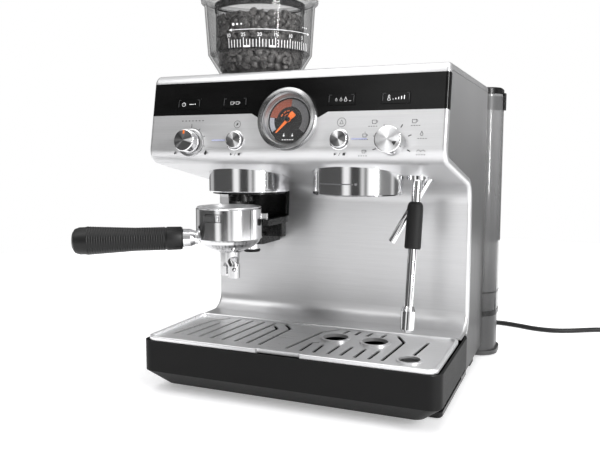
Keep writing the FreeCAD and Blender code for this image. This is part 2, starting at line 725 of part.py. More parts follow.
def slot_in_plate(points, width):
    """A round-ended slot through the plate, along its corner points."""
    corners = [V(x, y, PLATE_Z - 4) for x, y in points]
    bars = [Part.makeCylinder(width / 2, 12, p, Z_AXIS) for p in corners]
    for a, b in zip(corners, corners[1:]):
        along = b.sub(a)
        bar = Part.makeBox(along.Length, width, 12, V(0, -width / 2, 0))
        bar.rotate(V(0, 0, 0), Z_AXIS, math.degrees(math.atan2(along.y, along.x)))
        bar.translate(a)
        bars.append(bar)
    return fuse(*bars)


# Drain slots as corner points; the outer ones follow the outline of each group.
LEFT_SLOTS = [
    [(-136, -132), (-127, -68), (-114, -51)], [(-119.5, -131), (-114, -74)],
    [(-105, -132), (-99, -51)], [(-90.5, -133), (-83, -51)], [(-76, -134), (-68, -51)],
    [(-61, -134), (-54, -51)], [(-46.5, -135), (-42, -72), (-50, -62)],
    [(-32.5, -136), (-28.5, -67), (-41, -51)],
]
RIGHT_SLOTS = [
    [(-1.5, -138), (9.5, -66), (22, -51)], [(14.5, -140), (15, -109), (20, -106)],
    [(28.5, -140), (28, -113)], [(43, -139), (44.5, -111)], [(56.5, -139), (58, -109)],
    [(71, -141), (72.5, -112)], [(85, -140), (87, -112)], [(98, -140), (102, -73), (90, -51)],
    [(33, -61), (35, -51)], [(46.6, -62), (48, -51)], [(59.5, -63), (61.4, -51)],
    [(75, -63), (76.7, -51)], [(122, -112), (125.5, -66)],
]
CUP_HOLES = [(32, -86), (75, -86)]
FLOAT_AT = (122.0, -132.0)


def drip_plate():
    """Pressed steel cover: rolled rim, drain slots, two cup rings, float hole."""
    sheet = rounded_box(-153.5, 153.5, -160.5, -43.5, PLATE_Z, PLATE_Z + 1.6, 10)
    rim = rounded_box(-153.5, 153.5, -160.5, -43.5, PLATE_Z, PLATE_Z + 4.4, 10)
    rim = rim.cut(rounded_box(-149.8, 149.8, -156.8, -47.2, PLATE_Z - 1, PLATE_Z + 9, 6.5))
    rounds = [e for e in rim.Edges if e.BoundBox.ZMin > PLATE_Z + 4.39]
    rim = rim.makeFillet(1.6, rounds)
    rings = [ring(x, y, PLATE_Z, PLATE_Z + 3.6, 15.8, 13.2) for x, y in CUP_HOLES]
    rings.append(ring(*FLOAT_AT, PLATE_Z, PLATE_Z + 3.2, 12.2, 10.4))
    cuts = [rod(x, y, PLATE_Z - 2, PLATE_Z + 6, 13.2) for x, y in CUP_HOLES]
    cuts.append(rod(*FLOAT_AT, PLATE_Z - 2, PLATE_Z + 6, 10.4))
    cuts += [slot_in_plate(line, 3.6) for line in LEFT_SLOTS + RIGHT_SLOTS]
    cuts.append(rounded_box(-25, 22, -170, -157.4, PLATE_Z - 2, PLATE_Z + 9, 2.5))
    plate = fuse(sheet, rim, *rings)
    return plate.cut(cuts)


def water_float():
    stem = rod(*FLOAT_AT, 14, 56.5, 6.0)
    head = rod(*FLOAT_AT, 30, 46, 9.6)
    cap = rod(*FLOAT_AT, 54, 58.5, 8.8)
    return fuse(stem, head, cap)


# --------------------------------------------------------------- water tank
def water_tank():
    wall = 2.6
    outer = rounded_box(-TANK_HALF, TANK_HALF, TANK_FRONT, TANK_BACK, DOCK_TOP + 0.2, TANK_TOP, 22)
    inner = rounded_box(-TANK_HALF + wall, TANK_HALF - wall, TANK_FRONT + wall, TANK_BACK - wall,
                        DOCK_TOP + 5, TANK_TOP + 9, 19.4)
    outlet = rod(*OUTLET, DOCK_TOP - 5.5, DOCK_TOP + 2, 10.6)
    drain = rod(*OUTLET, DOCK_TOP - 8, DOCK_TOP + 9, 5)
    barrels = [hinge_barrel(x, x + 24) for x in (-130.0, 106.0)]
    return fuse(outer.cut(inner), outlet, *barrels).cut(drain)


def hinge_barrel(x0, x1):
    """A length of the lid's hinge, with a web to the part that it belongs to."""
    y, z = LID_PIVOT
    barrel = Part.makeCylinder(3.0, x1 - x0, V(x0, y, z), X_AXIS)
    return barrel.fuse(box(x0, x1, TANK_BACK - 1, y, z - 3.0, z - 0.6))


def tank_lid():
    lid = rounded_box(-TANK_HALF, TANK_HALF, TANK_FRONT, TANK_BACK, TANK_TOP + 0.3, 332.5, 22)
    edge = [e for e in lid.Edges if e.BoundBox.ZMin > 332.4]
    lid = lid.makeFillet(2.0, edge)
    knuckles = []
    for side in (-1, 1):
        inner, outer = sorted((side * (TANK_HALF + 0.4), side * (TANK_HALF + 3.0)))
        knuckles.append(rounded_box(inner, outer, 136, 148.5, 306, 326.5, 1.2))
        web = sorted((side * (TANK_HALF - 1), side * (TANK_HALF + 1)))
        knuckles.append(box(*web, 138, 146.5, TANK_TOP + 0.3, 326.4))
    y, z = LID_PIVOT
    for x0 in (-105.4, -154.6, 130.6, 81.4):
        knuckles.append(Part.makeCylinder(3.0, 24, V(x0, y, z), X_AXIS))
        knuckles.append(box(x0, x0 + 24, TANK_BACK - 1.5, y, z + 0.6, z + 3.0))
    return fuse(lid, *knuckles)


# ------------------------------------------------------------- filter holder
def around_filter(azimuth, r, z=0.0):
    angle = math.radians(azimuth)
    return V(FILTER[0] + r * math.cos(angle), FILTER[1] + r * math.sin(angle), z)


def portafilter_body():
    top, shoulder, foot = FILTER_TOP, FILTER_TOP - 33.5, FILTER_TOP - 46.5
    bowl = [(8.6, foot), (15.0, foot), (16.2, foot + 1.2), (22.6, foot + 3.4), (27.8, foot + 6.4),
            (31.4, foot + 9.8), (33.2, shoulder)]
    wall = [(FILTER_R, shoulder + 1.4), (FILTER_R, top - 1.0), (FILTER_R - 1.0, top), (32.0, top)]
    inside = [(32.0, shoulder + 2.6), (27.5, shoulder + 0.2), (12.0, foot + 5.4), (8.6, foot + 5.4)]
    cup = turned(bowl + wall + inside, *FILTER)
    lugs = []
    for azimuth in (30, 150, 270):
        lug = rounded_box(33.4, LUG_R, -7.6, 7.6, top - 12.0, top - 6.5, 1.2)
        lug.rotate(V(0, 0, 0), Z_AXIS, azimuth)
        lug.translate(V(FILTER[0], FILTER[1], 0))
        lugs.append(lug)
    shaft = handle_piece([(32.8, 0), (32.8, 7.4), (36.0, 7.4), (41.0, 9.4), (GRIP_FROM - 0.6, 9.8),
                          (GRIP_FROM, 9.4), (GRIP_FROM, 6.4), (62.0, 6.4), (62.0, 0)])
    return fuse(cup, shaft, *lugs)


HANDLE_Z = FILTER_TOP - 31.5


def handle_piece(outline):
    """A turned piece of the handle; distances are measured from the holder's own axis."""
    flat = around_filter(HANDLE_AZIMUTH, 1).sub(around_filter(HANDLE_AZIMUTH, 0))
    droop = math.radians(HANDLE_DROOP)
    axis = flat * math.cos(droop) - Z_AXIS * math.sin(droop)
    return turned_along(around_filter(HANDLE_AZIMUTH, 0, HANDLE_Z), axis, outline)


def portafilter_handle():
    """Moulded grip, waisted near the holder and fuller towards its end."""
    return handle_piece([
        (GRIP_FROM, 6.6), (GRIP_FROM, 11.2), (GRIP_FROM + 1.6, 12.2), (66.0, 12.4), (96.0, 12.4),
        (124.0, 13.8), (146.0, 15.0), (156.0, 14.0), (161.0, 10.0), (162.0, 0.0), (62.4, 0.0), (62.4, 6.6)])


def filter_basket():
    top = FILTER_TOP
    profile = [
        (0, 171.2), (28.5, 171.2), (30.8, 173.4), (31.4, top), (33.8, top), (33.8, top + 1.2),
        (30.4, top + 1.2), (29.9, 174.0), (28.2, 172.2), (0, 172.2),
    ]
    return turned(profile, *FILTER)


SPOUT_AZIMUTH = 325.0


def portafilter_spout():
    """Threaded boss with two curved outlets."""
    top = FILTER_TOP - 46.5
    boss = rod(*FILTER, 138, top, 10.5)
    neck = rod(*FILTER, top, top + 5.2, 8.4)
    arms = []
    for side in (0, 180):
        start = around_filter(SPOUT_AZIMUTH + side, 2.0, 143)
        knee = around_filter(SPOUT_AZIMUTH + side, 10.5, 134)
        mouth = around_filter(SPOUT_AZIMUTH + side, 10.5, 121.5)
        arms.append(Part.makeCone(7.4, 6.0, knee.sub(start).Length, start, knee.sub(start)))
        arms.append(Part.makeSphere(6.0, knee))
        arms.append(Part.makeCylinder(6.0, knee.z - mouth.z, mouth, Z_AXIS))
    body = fuse(boss, neck, *arms)
    mouths = [rod(p.x, p.y, 118, 133, 4.2) for p in
              (around_filter(SPOUT_AZIMUTH, 10.5), around_filter(SPOUT_AZIMUTH + 180, 10.5))]
    return body.cut(mouths + [rod(*FILTER, 142, top + 6, 4.0)])


def tamper():
    x, y = TAMPER
    head = rod(x, y, 149.8, 159.4, 24.4)
    handle = turned([(0, 140.4), (8.2, 140.4), (8.4, 146), (12.0, 149.8), (0, 149.8)], x, y)
    foot = turned([(0, 137.0), (9.0, 137.0), (10.0, 138.2), (10.0, 139.4), (9.0, 140.4), (0, 140.4)], x, y)
    return fuse(head, handle, foot)


# --------------------------------------------------------------- mains lead
def cord_gland():
    """Ribbed strain relief behind the plinth."""
    x, y, z = CORD_EXIT
    flange = Part.makeCylinder(9.0, 3.0, V(x, 171, z), Y_AXIS)
    relief = Part.makeCone(6.6, 4.4, y - 174, V(x, 174, z), Y_AXIS)
    return fuse(flange, relief)


def cord_coil():
    coil = ring(*COIL, 0.2, COIL_H, COIL_OUT, COIL_IN)
    return coil.makeFillet(3.0, coil.Edges)


def plug():
    """Round moulded plug with two pins, its relief reaching back to the coil."""
    back = V(*PLUG_AT, PLUG_R + 0.2)
    tail_start = V(*CORD_END)
    lead = back.sub(tail_start)
    relief = Part.makeCone(4.4, 8.0, lead.Length, tail_start, lead)
    body = Part.makeCone(15.0, PLUG_R, 14, back, Y_AXIS)
    face = Part.makeCylinder(PLUG_R, 12, back + Y_AXIS * 14, Y_AXIS)
    pins = [Part.makeCylinder(2.4, 19, back + V(s * 9.5, 26, 0), Y_AXIS) for s in (-1, 1)]
    return fuse(body, face, relief, *pins)


# ------------------------------------------------------------------- export
def build():
    parts = {}
    cover, band = front_cover_and_band()
    parts["front_cover"] = cover
    parts["control_band"] = band
    parts["side_panel_left"] = side_panel(-1)
    parts["side_panel_right"] = side_panel(1)
    for name, x in KEY_XS.items():
        parts[name] = key_cap(x)
    for name, x in BUTTON_XS.items():
        parts[name] = push_button(x)
    parts["dose_knob"] = knob(DOSE, DOSE_R, DOSE_PROUD)
    parts["selector_knob"] = knob(SELECT, SELECT_R, SELECT_PROUD)
    cord, length, radii = pipe_run(CORD_ROUTE, CORD_D / 2)
    parts["power_cord"] = cord
    section = math.pi * (CORD_D / 2) ** 2
    print("cord tube length", round(length, 1), "volume ratio", round(cord.Volume / section / length, 4))
    print("cord bend radii", [round(r) for r in radii])
    makers = [
        water_hoses, rear_panel, cup_shelf, base_plate, feet, rear_dock, chassis, gauge_bezel, gauge_lens,
        gauge_dial, gauge_needle, control_board, hopper, hopper_lid, coffee_beans,
        burr_housing, upper_burr, lower_burr, grinder_motor, grind_chute, grinder_collar,
        fork_cradle, group_collar, group_head, group_seal, shower_screen, boiler, pump,
        steam_valve, hot_water_spout, wand_socket, wand_tube, wand_grip, wand_tip, drip_tray,
        drip_plate, water_float, water_tank, tank_lid, portafilter_body, portafilter_handle,
        filter_basket, portafilter_spout, tamper, cord_gland, cord_coil, plug,
    ]
    for maker in makers:
        parts[maker.__name__] = maker()
    return parts


os.makedirs("parts", exist_ok=True)
built = build()
for name, shape in built.items():
    shape.exportStep(os.path.join("parts", name + ".step"))
print(len(built), "nodes")
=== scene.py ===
import json
import math
import random

import bmesh
import bpy
from mathutils import Matrix, Vector


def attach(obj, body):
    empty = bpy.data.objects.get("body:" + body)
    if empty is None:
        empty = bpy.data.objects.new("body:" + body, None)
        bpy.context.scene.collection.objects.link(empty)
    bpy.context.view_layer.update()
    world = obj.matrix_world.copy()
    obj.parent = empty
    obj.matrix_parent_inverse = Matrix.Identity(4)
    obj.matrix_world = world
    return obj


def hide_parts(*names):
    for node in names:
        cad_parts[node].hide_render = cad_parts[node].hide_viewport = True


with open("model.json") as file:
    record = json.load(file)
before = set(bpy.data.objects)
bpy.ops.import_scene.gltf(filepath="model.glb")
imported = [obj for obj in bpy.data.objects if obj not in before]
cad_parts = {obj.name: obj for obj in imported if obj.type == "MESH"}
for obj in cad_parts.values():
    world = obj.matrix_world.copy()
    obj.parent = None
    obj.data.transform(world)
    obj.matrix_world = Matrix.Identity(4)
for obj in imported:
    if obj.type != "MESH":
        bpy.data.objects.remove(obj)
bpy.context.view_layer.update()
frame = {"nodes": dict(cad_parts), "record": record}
NODES = frame["nodes"]
MM = 0.001

# The object's frame: metres, +Z up, X to the right, Y away from the user, origin on the table under
# the body. Pieces are drawn in millimetres in it; a turned piece is drawn about its own Z axis instead.

# ---- camera
CAMERA_AT = Vector((0.26793, -0.74337, 0.25015))
CAMERA_YAW, CAMERA_DOWN = math.radians(22.81), math.radians(5.89)
CAMERA_LENS = 40.745


def new_object(name, data):
    """An object of the scene that shows a mesh, curve, light or camera."""
    shown = bpy.data.objects.new(name, data)
    bpy.context.scene.collection.objects.link(shown)
    return shown


def make_camera():
    data = bpy.data.cameras.new("camera")
    data.lens, data.sensor_width = CAMERA_LENS, 36.0
    data.clip_start, data.clip_end = 0.02, 30.0
    camera = new_object("camera", data)
    level = math.cos(CAMERA_DOWN)
    look = Vector((-math.sin(CAMERA_YAW) * level, math.cos(CAMERA_YAW) * level, -math.sin(CAMERA_DOWN)))
    camera.location = CAMERA_AT
    camera.rotation_euler = look.to_track_quat("-Z", "Y").to_euler()
    bpy.context.scene.camera = camera


make_camera()


# ---- materials
class Nodes:
    """The few node chains that the studio and the finishes are made of."""

    def __init__(self, owner):
        owner.use_nodes = True
        self.tree = owner.node_tree

    def add(self, kind, **settings):
        node = self.tree.nodes.new("ShaderNode" + kind)
        for key, value in settings.items():
            if key in node.inputs:
                node.inputs[key].default_value = value
            else:
                setattr(node, key, value)
        return node

    def link(self, source, target):
        self.tree.links.new(source, target)

    def spread(self, source, low, high, start=0.3, end=0.7):
        """A value from low to high as the source goes from start to end."""
        node = self.add("MapRange", **{"From Min": start, "From Max": end, "To Min": low, "To Max": high})
        self.link(source, node.inputs["Value"])
        return node.outputs["Result"]

    def ramp(self, source, stops):
        """A colour that follows (position, colour) stops as the source rises."""
        node = self.add("ValToRGB")
        elements = node.color_ramp.elements
        while len(elements) < len(stops):
            elements.new(0.5)
        for element, (position, colour) in zip(elements, stops):
            element.position = position
            element.color = (*colour, 1.0)
        self.link(source, node.inputs["Fac"])
        return node.outputs["Color"]

    def curve(self, source, stops):
        """A value that follows (position, value) stops as the source rises."""
        return self.ramp(source, [(position, (value, value, value)) for position, value in stops])

    def mixed(self, factor, colour, level):
        """The colour where the factor is 0, a grey level where it is 1."""
        node = self.add("Mix", data_type="RGBA")
        self.link(factor, node.inputs["Factor"])
        self.link(colour, node.inputs["A"])
        node.inputs["B"].default_value = (level, level, level, 1.0)
        return node.outputs["Result"]


class Paint(Nodes):
    """A Principled material."""

    def __init__(self, name, colour, rough, metal=0.0, **constants):
        self.material = bpy.data.materials.new(name)
        super().__init__(self.material)
        self.shader = self.tree.nodes["Principled BSDF"]
        self.set("Base Color", (*colour, 1.0))
        self.set("Roughness", rough)
        self.set("Metallic", metal)
        for socket, value in constants.items():
            self.set(socket.replace("_", " "), value)

    def set(self, socket, value):
        self.shader.inputs[socket].default_value = value

    def where(self, stretch=(1, 1, 1)):
        """Object coordinates in metres, stretched."""
        coords = self.add("TexCoord")
        mapping = self.add("Mapping", Scale=stretch)
        self.link(coords.outputs["Object"], mapping.inputs["Vector"])
        return mapping.outputs["Vector"]

    def noise(self, scale, stretch=(1, 1, 1), detail=2.0, rough=0.5):
        node = self.add("TexNoise", Scale=scale, Detail=detail, Roughness=rough)
        self.link(self.where(stretch), node.inputs["Vector"])
        return node.outputs["Fac"]

    def cells(self, scale):
        """Distance from the edges of irregular cells."""
        node = self.add("TexVoronoi", Scale=scale, feature="DISTANCE_TO_EDGE")
        self.link(self.where(), node.inputs["Vector"])
        return node.outputs["Distance"]

    def distance(self, stretch=(1, 1, 1)):
        """Distance from the piece's origin in metres, after the stretch."""
        node = self.add("VectorMath", operation="LENGTH")
        self.link(self.where(stretch), node.inputs[0])
        return node.outputs["Value"]

    def tones(self, source, dark, light, start=0.3, end=0.7):
        """Colour from dark to light as the source goes from start to end."""
        return self.ramp(source, [(start, dark), (end, light)])

    def sum(self, a, b):
        node = self.add("Math", operation="ADD")
        self.link(a, node.inputs[0])
        self.link(b, node.inputs[1])
        return node.outputs[0]

    def times(self, source, factor):
        node = self.add("Math", operation="MULTIPLY")
        self.link(source, node.inputs[0])
        node.inputs[1].default_value = factor
        return node.outputs[0]

    def colour(self, source):
        self.link(source, self.shader.inputs["Base Color"])

    def roughness(self, source):
        self.link(source, self.shader.inputs["Roughness"])
        return self

    def bump(self, source, strength, depth_mm):
        node = self.add("Bump", Strength=strength, Distance=depth_mm * MM)
        self.link(source, node.inputs["Height"])
        self.link(node.outputs["Normal"], self.shader.inputs["Normal"])
        return self

    def spun(self, strength):
        """Reflections drawn out across grooves that run round the piece's own Z axis."""
        node = self.add("Tangent", direction_type="RADIAL", axis="Z")
        self.set("Anisotropic", strength)
        self.set("Anisotropic Rotation", 0.25)
        self.link(node.outputs["Tangent"], self.shader.inputs["Tangent"])
        return self

    def drawn_out(self, direction, strength):
        """Reflections drawn out along a direction of the object's frame, across the brush lines."""
        node = self.add("CombineXYZ")
        for i, value in enumerate(direction):
            node.inputs[i].default_value = value
        self.set("Anisotropic", strength)
        self.link(node.outputs[0], self.shader.inputs["Tangent"])
        return self

    def along(self, axis, low_mm, high_mm):
        """0 at one place along an axis of the object's frame, 1 at another."""
        split = self.add("SeparateXYZ")
        self.link(self.where(), split.inputs[0])
        return self.spread(split.outputs[axis], 0.0, 1.0, low_mm * MM, high_mm * MM)

    def round_about(self):
        """0 to 1 round the piece's own Z axis, from its -X side; +X is at 0.5, +Y at 0.75."""
        node = self.add("TexGradient", gradient_type="RADIAL")
        self.link(self.where(), node.inputs["Vector"])
        return node.outputs["Fac"]

    def cover(self, stops):
        """A clear film whose cover follows (facing, cover) stops, from face-on, 0, to edge-on, 1."""
        node = self.add("LayerWeight", Blend=0.5)
        self.link(self.curve(node.outputs["Facing"], stops), self.shader.inputs["Alpha"])

    def tinted(self, colour, factor):
        """A colour multiplied by a value from 0 to 1."""
        node = self.add("VectorMath", operation="MULTIPLY")
        self.link(colour, node.inputs[0])
        self.link(factor, node.inputs[1])
        return node.outputs["Vector"]


def grey(value):
    """A neutral tone, a shade cool."""
    return (value, value, value * 1.01)


def brushed(name, tone, rough, along, across, metal=0.72, painted_light=None):
    """Brushed steel: along is the brush's axis, across is square to it; the last argument, (axis, low, high,
    stops), paints shade and reflection into the colour along an axis.
    """
    fine = [1.0, 1.0, 1.0]
    fine["XYZ".index(along)] = 0.02
    paint = Paint(name, grey(tone), rough, metal).drawn_out(across, 0.55)
    lines = paint.noise(1400, fine, 3.0, 0.7)
    streaks = paint.noise(260, fine, 2.0, 0.6)
    clouds = paint.noise(9)
    mixed = paint.sum(paint.times(lines, 0.6), paint.times(streaks, 0.4))
    colour = paint.tones(mixed, grey(tone * 0.92), grey(tone * 1.05))
    # Painted shade and painted reflection: the colour is scaled up and down along the axis.
    if painted_light:
        axis, low, high, stops = painted_light
        colour = paint.tinted(colour, paint.curve(paint.along(axis, low, high), stops))
    paint.colour(colour)
    paint.roughness(paint.sum(
        paint.spread(mixed, rough - 0.04, rough + 0.04), paint.spread(clouds, -0.015, 0.015)))
    return paint.bump(mixed, 0.10, 0.015).material


def chrome(name, tone=0.82, rough=0.045):
    """Plated and polished, with faint waviness and wiping marks."""
    paint = Paint(name, grey(tone), rough, 1.0)
    smears = paint.noise(60, (1, 1, 0.3), 3.0, 0.6)
    paint.roughness(paint.spread(smears, rough, rough + 0.05, 0.45, 0.8))
    return paint.bump(paint.noise(35), 0.04, 0.2).material


def moulded(name, tone, rough, grain=900.0, depth=0.04, spec=0.3):
    """Moulded black plastic with a fine spark-eroded grain."""
    paint = Paint(name, grey(tone), rough, Specular_IOR_Level=spec)
    texture = paint.noise(grain, detail=3.0, rough=0.6)
    clouds = paint.noise(14, detail=3.0)
    paint.colour(paint.tones(clouds, grey(tone * 0.85), grey(tone * 1.2)))
    paint.roughness(paint.sum(
        paint.spread(texture, rough - 0.04, rough + 0.06), paint.spread(clouds, -0.03, 0.04)))
    return paint.bump(texture, 0.3, depth).material


def rubber(name, tone, rough=0.62):
    """Matt rubber with a little dust in its grain."""
    paint = Paint(name, grey(tone), rough, Specular_IOR_Level=0.25, Sheen_Weight=0.03)
    dust = paint.noise(420, detail=4.0, rough=0.6)
    paint.colour(paint.tones(dust, grey(tone * 0.8), grey(tone * 1.5)))
    paint.roughness(paint.spread(dust, rough - 0.06, rough + 0.08))
    return paint.bump(dust, 0.3, 0.05).material


def glossy_band():
    """Glossy black plastic with faint wiping marks."""
    paint = Paint("band_gloss", grey(0.004), 0.08, Specular_IOR_Level=0.22)
    smears = paint.noise(24, (1, 1, 2.5), 4.0, 0.65)
    paint.roughness(paint.spread(smears, 0.06, 0.18, 0.45, 0.8))
    paint.colour(paint.tones(smears, grey(0.003), grey(0.006)))
    return paint.bump(paint.noise(18), 0.03, 0.2).material


def clear_wall(name, tone, stops, rough=0.05):
    """Clear moulding with slow waves in it."""
    paint = Paint(name, grey(tone), rough, IOR=1.5)
    waves = paint.noise(22, (1, 1, 0.6))
    paint.colour(paint.tones(waves, grey(tone * 0.85), grey(tone * 1.15)))
    paint.cover(stops)
    return paint.bump(waves, 0.05, 0.3).material


def tank_wall():
    """Smoky moulding with painted shade: darker towards its foot, lighter towards its top."""
    paint = Paint("tank_smoke", grey(0.12), 0.07, IOR=1.5)
    waves = paint.noise(16, (1, 1, 0.4))
    # Painted shade: the tint rises from dark at the foot to lighter at the top.
    rise = paint.sum(paint.times(paint.along("Z", 60, 318), 0.92), paint.times(waves, 0.08))
    paint.colour(paint.tones(rise, grey(0.05), grey(0.23), 0.05, 0.95))
    paint.cover([(0.0, 0.66), (0.7, 0.80), (1.0, 0.95)])
    return paint.bump(waves, 0.05, 0.3).material


def lens_glass():
    """The gauge's glass, nearly clear face-on."""
    paint = Paint("lens_clear", grey(0.6), 0.02, IOR=1.45, Specular_IOR_Level=0.3)
    paint.cover([(0.0, 0.015), (0.5, 0.03), (1.0, 0.5)])
    return paint.bump(paint.noise(30), 0.02, 0.1).material


def spun_metal(name, tone, rough, strength=0.85, painted_wedges=None):
    """Turned metal: grooves round the piece's own Z axis; the wedge stops, (turn, tone), paint highlights and
    reflections round it as bright and dark wedges.
    """
    paint = Paint(name, grey(tone), rough, 1.0).spun(strength)
    node = paint.add("TexNoise", noise_dimensions="1D", Scale=2600, Detail=2.0)
    paint.link(paint.distance((1, 1, 0)), node.inputs["W"])
    rings = node.outputs["Fac"]
    colour = paint.tones(rings, grey(tone * 0.85), grey(tone * 1.08))
    # Painted highlights and painted reflections: bright and dark wedges round the axis.
    if painted_wedges:
        colour = paint.tinted(colour, paint.curve(paint.round_about(), painted_wedges))
    paint.colour(colour)
    paint.roughness(paint.spread(rings, rough - 0.04, rough + 0.05))
    return paint.bump(rings, 0.2, 0.02).material


def lacquer(name, colour, rough=0.4, painted_glow=0.0):
    """Printed or painted marks, a little uneven; a mark given a glow shines with painted light."""
    paint = Paint(name, colour, rough, Emission_Strength=painted_glow)
    if painted_glow:
        paint.set("Emission Color", (*colour, 1.0))
    patches = paint.noise(700, detail=3.0)
    dark, light = [c * 0.85 for c in colour], [min(1, c * 1.1) for c in colour]
    paint.colour(paint.tones(patches, dark, light))
    return paint.roughness(paint.spread(patches, rough - 0.05, rough + 0.1)).material


def cast(name, colour, rough, metal=1.0):
    """Cast or bead-blasted metal, or paint on it."""
    paint = Paint(name, colour, rough, metal)
    pits = paint.noise(500, detail=4.0, rough=0.65)
    paint.colour(paint.tones(pits, [c * 0.8 for c in colour], [min(1, c * 1.12) for c in colour]))
    paint.roughness(paint.spread(pits, rough - 0.08, rough + 0.1))
    return paint.bump(pits, 0.4, 0.08).material


def bean_skin():
    """Roasted bean, faintly oily."""
    paint = Paint("bean_skin", (0.12, 0.116, 0.113), 0.38, Coat_Weight=0.4, Coat_Roughness=0.3)
    spots = paint.noise(150, detail=4.0, rough=0.6)
    paint.colour(paint.tones(spots, (0.036, 0.034, 0.033), (0.28, 0.27, 0.262)))
    paint.roughness(paint.spread(spots, 0.28, 0.5))
    return paint.bump(paint.noise(900, detail=3.0), 0.4, 0.12).material


def circuit_board():
    """Solder mask over a web of tracks."""
    paint = Paint("board_mask", (0.02, 0.12, 0.05), 0.4)
    cells = paint.cells(320)
    paint.colour(paint.tones(cells, (0.05, 0.22, 0.08), (0.01, 0.09, 0.035), 0.04, 0.10))
    return paint.bump(cells, 0.3, 0.05).material


UPRIGHT, FRONT_TO_BACK = (0.0, 0.0, 1.0), (0.0, 1.0, 0.0)
COVER_STEEL = brushed("cover_steel_brushed", 0.60, 0.34, "X", UPRIGHT)
# The side panel has painted shade: darker towards its bottom, lighter towards its top.
SIDE_STEEL = brushed("side_steel_brushed", 0.62, 0.38, "Z", FRONT_TO_BACK, 0.8,
                     ("Z", 20, 330, [(0.0, 0.09), (0.35, 0.16), (0.7, 0.42), (1.0, 0.75)]))
# The drip plate has a painted reflection and painted shade: brightest at its left end, darker in the middle.
PLATE_STEEL = brushed("plate_steel_brushed", 0.95, 0.30, "X", FRONT_TO_BACK, 0.72,
                      ("X", -160, 160, [
                          (0.0, 1.0), (0.16, 0.85), (0.36, 0.55), (0.55, 0.5), (0.8, 0.72), (1.0, 0.85)]))
INNER_STEEL = brushed("inner_zinc", 0.42, 0.45, "X", UPRIGHT)
CHROME = chrome("chrome_polished")
SATIN_CHROME = chrome("chrome_satin", 0.74, 0.11)
CAST_CHROME = chrome("chrome_cast", 0.50, 0.16)
# The faces of the knobs and buttons and the gauge's bezel carry painted highlights and painted reflections in
# their wedges.
SPUN_BRIGHT_PAINTED_REFLECTION = spun_metal("face_bright_painted_reflection", 0.92, 0.40, 0.95, [
    (0.0, 0.95), (0.2, 1.0), (0.36, 0.75), (0.42, 0.55), (0.47, 0.95), (0.75, 1.0), (1.0, 0.95)])
SPUN_DARK_PAINTED_REFLECTION = spun_metal("face_dark_painted_reflection", 0.85, 0.40, 0.95, [
    (0.0, 0.30), (0.06, 0.16), (0.12, 0.45), (0.16, 0.12), (0.44, 0.14), (0.475, 1.0), (0.515, 1.0),
    (0.55, 0.20), (0.68, 0.10), (0.80, 0.28), (0.88, 0.10), (1.0, 0.30)])
SPUN_BOW_PAINTED_HIGHLIGHT = spun_metal("face_bow_painted_highlight", 0.90, 0.40, 0.95, [
    (0.0, 0.25), (0.2, 0.14), (0.29, 0.22), (0.33, 1.0), (0.40, 1.0), (0.44, 0.25), (0.6, 0.12),
    (0.74, 0.2), (0.80, 1.0), (0.90, 1.0), (0.94, 0.35), (1.0, 0.25)])
RIM_CHROME_PAINTED_HIGHLIGHT = spun_metal("rim_chrome_painted_highlight", 0.90, 0.22, 0.8, [
    (0.0, 0.80), (0.07, 1.0), (0.14, 0.30), (0.24, 0.50), (0.32, 0.20), (0.41, 0.60), (0.48, 1.0),
    (0.56, 0.30), (0.68, 0.55), (0.78, 0.35), (0.9, 0.25), (1.0, 0.80)])
SATIN_RING = spun_metal("ring_satin", 0.60, 0.30, 0.5)
BAND = glossy_band()
BLACK_SATIN = moulded("black_satin", 0.005, 0.26)
TRAY_BLACK = moulded("tray_black", 0.004, 0.5, 1100.0, 0.04, 0.16)
GRIP_BLACK = moulded("grip_black", 0.005, 0.38, 800.0, 0.05)
RUBBER = rubber("rubber_matt", 0.006)
CORD_RUBBER = rubber("cord_jacket", 0.012, 0.45)
HOSE_WHITE = moulded("hose_silicone", 0.70, 0.45, 300.0)
HOPPER_CLEAR = clear_wall("hopper_clear", 0.06, [
    (0.0, 0.12), (0.27, 0.12), (0.40, 0.24), (0.8, 0.36), (1.0, 0.85)])
BIN_CLEAR = clear_wall("bin_clear", 0.06, [(0.0, 0.05), (0.5, 0.10), (0.85, 0.4), (1.0, 0.8)])
LID_SMOKE = clear_wall("lid_smoke", 0.03, [(0.0, 0.82), (0.6, 0.88), (1.0, 0.97)])
LID_CLEAR = clear_wall("lid_clear", 0.06, [(0.0, 0.5), (0.6, 0.35), (0.8, 0.07), (0.93, 0.07), (1.0, 0.9)])
TANK_SMOKE = tank_wall()
TANK_TRIM = moulded("tank_trim_grey", 0.085, 0.35, 900.0)
DOCK_GREY = moulded("dock_grey", 0.05, 0.32, 900.0)
# Painted highlight: a pale clear strip for the light that shines through the tank's rear corners.
TANK_EDGE_HIGHLIGHT = clear_wall("tank_edge_painted_highlight", 0.45, [(0.0, 0.55), (1.0, 0.95)], 0.12)
LENS = lens_glass()
DIAL_BLACK = moulded("dial_black", 0.007, 0.5, 1500.0, 0.02)
NEEDLE_ORANGE = lacquer("needle_orange", (0.86, 0.17, 0.02), 0.35)
PRINT_BLACK = lacquer("print_black", (0.02, 0.02, 0.02), 0.45)
